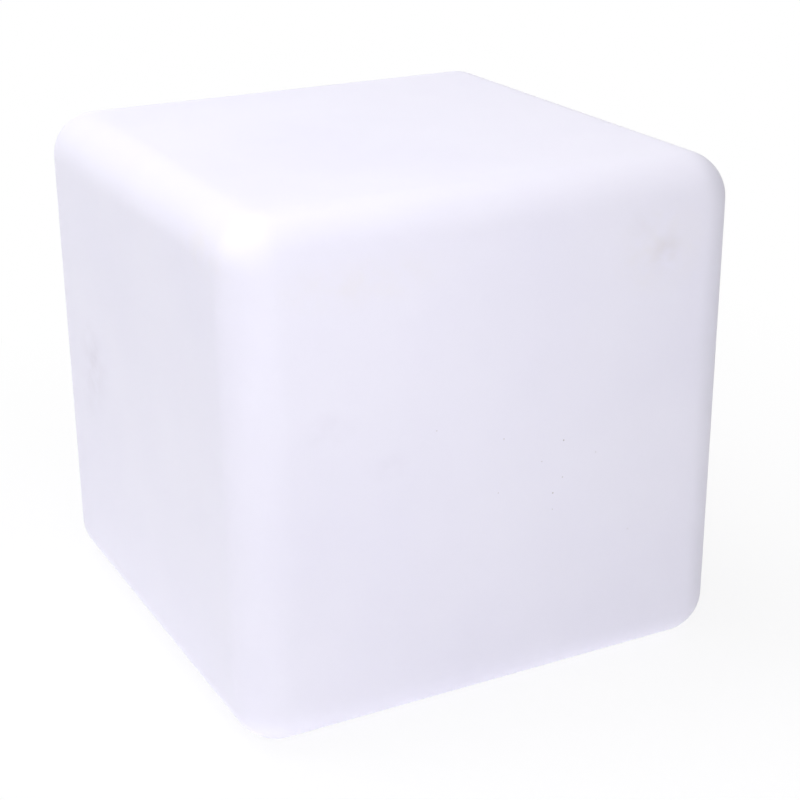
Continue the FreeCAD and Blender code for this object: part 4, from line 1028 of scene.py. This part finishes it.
def makeScrewTree(shape, sizes):
    # a pan-head screw that points down from z = 0, with a tapered cross recess and a rolled thread
    tree, given, result = newPieceTree("crossScrews", sizes)
    radius, height = given["Head Radius"], given["Head Height"]
    head = {
        key: times(tree, given[whole], share)
        for whole in ("Head Radius", "Head Height")
        for key, share in shape[whole].items()
    }
    corners = [(0.0, 0.0), (radius, 0.0), (radius, head["rim"]), (head["crown"], height), (0.0, height)]
    rounds = [0.0, head["footRound"], head["rimRound"], head["rimRound"], 0.0]
    profile = filleted(tree, corners, rounds, shape["profileSteps"])
    pan = useGroup(tree, turnedGroup, {"Profile": profile, "Segments": shape["segments"]})

    # the recess: two wings that taper towards the tip of the driver
    wing = joined(tree, head["wingLength"], head["wingWidth"], head["wingHeight"])
    wing = shapeNode(tree, "MeshCube", {"Size": wing})
    spot, half = spotOf(tree), shape["Head Height"]["wingHeight"] / 2
    along = divided(tree, split(tree, spot)[2], height)
    taper = remapped(tree, along, -half, half, shape["wingTip"], 1.0)
    wing = placed(tree, wing, vectors(tree, "MULTIPLY", spot, joined(tree, taper, taper, 1.0)))
    lift = joined(tree, z=head["wingLift"])
    wings = [moved(tree, wing, Translation=lift, Rotation=(0.0, 0.0, a)) for a in (math.pi / 2, 0.0)]

    # the thread: rows of points whose radius rises and falls with their height and angle
    grid, cell = pointGrid(tree, given["Thread Steps"], shape["columns"])
    down = times(tree, plus(tree, cell[0], 0.5), given["Length"])
    turns = plus(tree, divided(tree, down, given["Pitch"]), cell[1])
    ridge = maths(tree, "ABSOLUTE", minus(tree, maths(tree, "FRACT", turns), 0.5))
    cut = minus(tree, 1.0, times(tree, ridge, 2.0))
    cut = times(tree, cut, given["Thread Depth"])
    left = divided(tree, minus(tree, given["Length"], down), given["Shank Radius"])
    blunt = minus(tree, 1.0, given["Point"])
    tip = plus(tree, times(tree, left, given["Point"]), blunt)
    tip = maths(tree, "MINIMUM", tip, 1.0)
    reach = times(tree, minus(tree, given["Shank Radius"], cut), tip)
    # the first and last rows close on the axis
    inside = maths(tree, "LESS_THAN", maths(tree, "ABSOLUTE", cell[0]), shape["endRow"])
    reach = times(tree, reach, inside)
    thread = wrapped(tree, grid, reach, cell[1], times(tree, down, -1.0))
    screw = together(tree, cutBy(tree, pan, *wings), smoothed(tree, thread))
    screw = moved(tree, screw, Rotation=joined(tree, x=times(tree, given["Turn Over"], math.pi)))
    # each screw has its own turn, from 0 to a whole one, which is input 3
    inputs = {"Seed": given["Seed"], 3: 2 * math.pi}
    spin = addNode(tree, "FunctionNodeRandomValue", inputs, data_type="FLOAT")
    screws = onPoints(tree, given["Geometry"], screw, Rotation=joined(tree, z=spin.outputs[1]))
    handOut(tree, screws, given, result)
    return tree


screwKinds = {
    "machine": {
        "Head Radius": 3.9 * mm, "Head Height": 2.6 * mm, "Shank Radius": 2.0 * mm,
        "Pitch": 0.7 * mm, "Thread Depth": 0.38 * mm, "Thread Steps": 161, "Point": 0.0, "Turn Over": 1.0,
    },
    "tapping": {
        "Head Radius": 2.4 * mm, "Head Height": 1.6 * mm, "Shank Radius": 1.25 * mm,
        "Pitch": 0.8 * mm, "Thread Depth": 0.28 * mm, "Thread Steps": 61, "Point": 0.8, "Turn Over": 0.0,
    },
}
screwNodes = {
    "base_screws": "recessScrews", "deck_screws": "lidScrews", "led_board_screws": "lightBoardScrews",
    "dome_screws": "domeScrews", "tray_screws": "trayScrews", "clamp_screws": "clampScrews",
    "board_screws": "controlBoardScrews",
}


def makeScrews(rows):
    tree = makeScrewTree(screwShape, {**screwKinds["machine"], "Length": 0.0, "Seed": 0})
    for seed, (node, name) in enumerate(rows.items()):
        kind = screwKinds["machine" if node == "base_screws" else "tapping"]
        head = kind["Head Height"]
        seats = []
        for low, high in islands(node):
            seats.append(centreOf(low, high, low.z + head if kind["Turn Over"] else high.z - head))
        sizes = {**kind, "Length": high.z - low.z - head, "Seed": seed}
        piece = grow(name, node, tree, sizes, seats)
        outwardFaces(piece)
        standFor(piece, node, "cube")


makeScrews(screwNodes)

springSettings = {
    "sizes": {"Radius": 3.1 * mm, "Wire": 0.3 * mm, "Turns": 6.0},
    "travel": 1.5 * mm,
    "stepsPerTurn": 48,
    "sides": 12,
}


def makeSpringTree(settings, sizes):
    tree, given, result = newPieceTree("coiledSpring", sizes)
    coil = shapeNode(tree, "CurveSpiral", {
        "Resolution": settings["stepsPerTurn"], "Rotations": given["Turns"], "Height": given["Height"],
        "Start Radius": given["Radius"], "End Radius": given["Radius"],
    })
    wire = smoothed(tree, swept(tree, coil, given["Wire"], settings["sides"]))
    handOut(tree, onPoints(tree, given["Geometry"], wire), given, result)
    return tree


def makeSpring(settings):
    low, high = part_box("switch_spring")
    centre, wire = middleOf("switch_body"), settings["sizes"]["Wire"]
    sizes = {**settings["sizes"], "Height": high.z - low.z - 2 * wire}
    spots = [(centre.x, centre.y, low.z + wire)]
    spring = grow("returnSpring", "switch_spring", makeSpringTree(settings, sizes), sizes, spots)
    standFor(spring, "switch_spring", "cube")
    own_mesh(spring)


makeSpring(springSettings)

# The pressure vent: a domed cap, pierced by a ring of small holes over its membrane.

ventSettings = {
    "cap": [
        # radius, height and rounding
        (0.0, 12.7, 0), (2.3, 12.7, 0.15), (2.6, 12.1, 0.2), (3.8, 12.1, 0.4), (4.5, 13.5, 0.1),
        (2.6, 13.5, 0), (2.6, 16.5, 0), (3.1, 16.5, 0.1), (2.6, 18.1, 0.2), (0.0, 18.1, 0),
    ],
    "sizes": {"Holes": 8, "Hole Radius": 0.28 * mm, "Hole Circle": 1.5 * mm, "Hole Depth": 0.8 * mm},
    "profileSteps": 4,
    "segments": 64,
    "holeSides": 20,
}


def makeVentTree(settings, sizes):
    tree, given, result = newPieceTree("piercedVent", sizes)
    corners = [(x * mm, z * mm) for x, z, bend in settings["cap"]]
    rounds = [bend * mm for x, z, bend in settings["cap"]]
    profile = filleted(tree, corners, rounds, settings["profileSteps"])
    cap = useGroup(tree, turnedGroup, {"Profile": profile, "Segments": settings["segments"]})
    drill = shapeNode(tree, "MeshCylinder", {
        "Vertices": settings["holeSides"], "Radius": given["Hole Radius"],
        "Depth": times(tree, given["Hole Depth"], 2.0),
    })
    inputs = {"Vertices": given["Holes"], "Radius": given["Hole Circle"]}
    drills = onPoints(tree, shapeNode(tree, "MeshCircle", inputs), drill)
    drills = moved(tree, drills, Translation=joined(tree, z=given["Face"]))
    drills = shapeNode(tree, "RealizeInstances", {"Geometry": drills})
    vent = smoothed(tree, cutBy(tree, cap, drills))
    handOut(tree, onPoints(tree, given["Geometry"], vent), given, result)
    return tree


def makeVent(settings):
    sizes = {**settings["sizes"], "Face": settings["cap"][0][1] * mm}
    spots = [middleOf("pressure_vent")]
    vent = grow("ventCap", "pressure_vent", makeVentTree(settings, sizes), sizes, spots)
    outwardFaces(vent)
    standFor(vent, "pressure_vent", "cube")


makeVent(ventSettings)

# Grip ribs across the cover's finger tab, and two where its strap bends.

ribSettings = {
    "sizes": {"Width": 5.6 * mm, "Height": 0.3 * mm, "Half": 0.35 * mm},
    "rows": [-37.9, -36.9, -35.9, -11.6, -10.6],
    "sides": 16,
}


def makeRibTree(settings):
    tree, given, result = newPieceTree("softRibs", settings["sizes"])
    straight = halved(tree, given["Width"])
    run = shapeNode(tree, "CurvePrimitiveLine", {
        "Start": joined(tree, times(tree, straight, -1.0)), "End": joined(tree, straight),
    })
    rib = swept(tree, run, given["Half"], settings["sides"])
    flat = joined(tree, 1.0, 1.0, divided(tree, given["Height"], given["Half"]))
    rib = smoothed(tree, moved(tree, rib, Scale=flat))
    handOut(tree, onPoints(tree, given["Geometry"], rib), given, result)
    return tree


def makeRibs(settings):
    low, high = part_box("socket_cover")
    spots = [((low.x + high.x) / 2, y * mm, low.z) for y in settings["rows"]]
    ribs = grow("flapRibs", "socket_cover", makeRibTree(settings), settings["sizes"], spots)
    outwardFaces(ribs)
    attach(ribs, "cover")


makeRibs(ribSettings)
finishNodes()


# Studio: a white sweep that shows white to the lens and keeps a soft shadow.

studioSettings = {
    "floorSize": 8.0,
    "floorColour": (252, 252, 253),
    "floorLift": 0.84,
    "shadowStart": 0.25,
    "shadowEnd": 0.75,
    "floorGlow": 0.3,
    "glowStart": 0.203,
    "glowEnd": 0.24,
    "skyLeft": 0.61,
    "skyRight": 0.27,
    "skyColour": (252, 252, 255),
    "lamps": [
        # place, size, power, colour, and whether it shows in reflections
        ((-0.5, 0.2, 2.3), 1.6, 20.5, (255, 254, 255), True),
        ((-1.1, 0.45, 1.15), 0.8, 2.6, (250, 251, 255), True),
        ((-0.27, -0.8, 0.56), 0.4, 1.98, (252, 251, 255), False),
        ((1.3, 2.1, 1.4), 1.4, 7.0, (254, 254, 255), False),
    ],
    "aim": (0, 0, 0.2),
}


def straightRays(tree):
    # 1 where the lens sees a thing directly, in a reflection or through a clear piece
    seen = addNode(tree, "ShaderNodeLightPath").outputs
    mirrored = maths(tree, "MAXIMUM", seen["Is Glossy Ray"], seen["Is Transmission Ray"])
    return maths(tree, "MAXIMUM", seen["Is Camera Ray"], mirrored)


def mixedShader(tree, share, first, second):
    return addNode(tree, "ShaderNodeMixShader", {0: share, 1: first, 2: second})


def makeFloor(settings):
    half = settings["floorSize"] / 2
    mesh = bpy.data.meshes.new("floor")
    corners = [(-half, -half, 0), (half, -half, 0), (half, half, 0), (-half, half, 0)]
    mesh.from_pydata(corners, [], [(0, 1, 2, 3)])
    floor = bpy.data.objects.new("floor", mesh)
    collection.objects.link(floor)
    material, tree, shader = newMaterial("floorPaper")
    material.cycles.emission_sampling = "NONE"
    tree.nodes.remove(shader)
    paper = addNode(tree, "ShaderNodeBsdfDiffuse", {"Color": linear(*settings["floorColour"])})
    white = addNode(tree, "ShaderNodeEmission", {"Color": (1.0, 1.0, 1.0, 1.0), "Strength": 1.0})
    reach = split(tree, vectors(tree, "ABSOLUTE", surfacePlace(tree)))
    away = maths(tree, "MAXIMUM", reach[0], reach[1])
    lift = remapped(tree, away, settings["shadowStart"], settings["shadowEnd"], settings["floorLift"], 1.0)
    lit = mixedShader(tree, times(tree, straightRays(tree), lift), paper, white)
    # light that the object catches from the floor close by, over and above the paper's own bounce
    stray = addNode(tree, "ShaderNodeLightPath").outputs["Is Diffuse Ray"]
    near = remapped(tree, away, settings["glowEnd"], settings["glowStart"], 0.0, settings["floorGlow"])
    glow = addNode(tree, "ShaderNodeEmission", {"Strength": times(tree, stray, near)})
    whole = addNode(tree, "ShaderNodeAddShader", {0: lit, 1: glow})
    # from below the floor isn't there, so that the underside can be seen
    clear = addNode(tree, "ShaderNodeBsdfTransparent")
    back = addNode(tree, "ShaderNodeNewGeometry").outputs["Backfacing"]
    connect(tree, mixedShader(tree, back, whole, clear), tree.nodes["Material Output"].inputs["Surface"])
    floor.data.materials.append(material)


def makeSky(settings):
    world = bpy.data.worlds.new("sky")
    bpy.context.scene.world = world
    world.use_nodes = True
    tree = world.node_tree
    aside = split(tree, addNode(tree, "ShaderNodeTexCoord").outputs["Generated"])[0]
    cast = remapped(tree, aside, -1.0, 1.0, settings["skyLeft"], settings["skyRight"])
    strength = addNode(tree, "ShaderNodeMix", {"Factor": straightRays(tree), "A": cast, "B": 1.0}).outputs[0]
    background = tree.nodes["Background"]
    connect(tree, linear(*settings["skyColour"]), background.inputs["Color"])
    connect(tree, strength, background.inputs["Strength"])


def makeLamps(settings):
    for number, (place, size, power, colour, mirrored) in enumerate(settings["lamps"], 1):
        data = bpy.data.lights.new(f"softbox{number}", "AREA")
        data.shape = "DISK"
        data.size = size
        data.energy = power
        data.color = linear(*colour)[:3]
        lamp = bpy.data.objects.new(f"softbox{number}", data)
        lamp.visible_glossy = mirrored
        lamp.location = place
        lamp.rotation_euler = (Vector(settings["aim"]) - Vector(place)).to_track_quat("-Z", "Y").to_euler()
        collection.objects.link(lamp)


makeFloor(studioSettings)
makeSky(studioSettings)
makeLamps(studioSettings)
bpy.context.scene.view_settings.view_transform = "Standard"
print("studio lit")
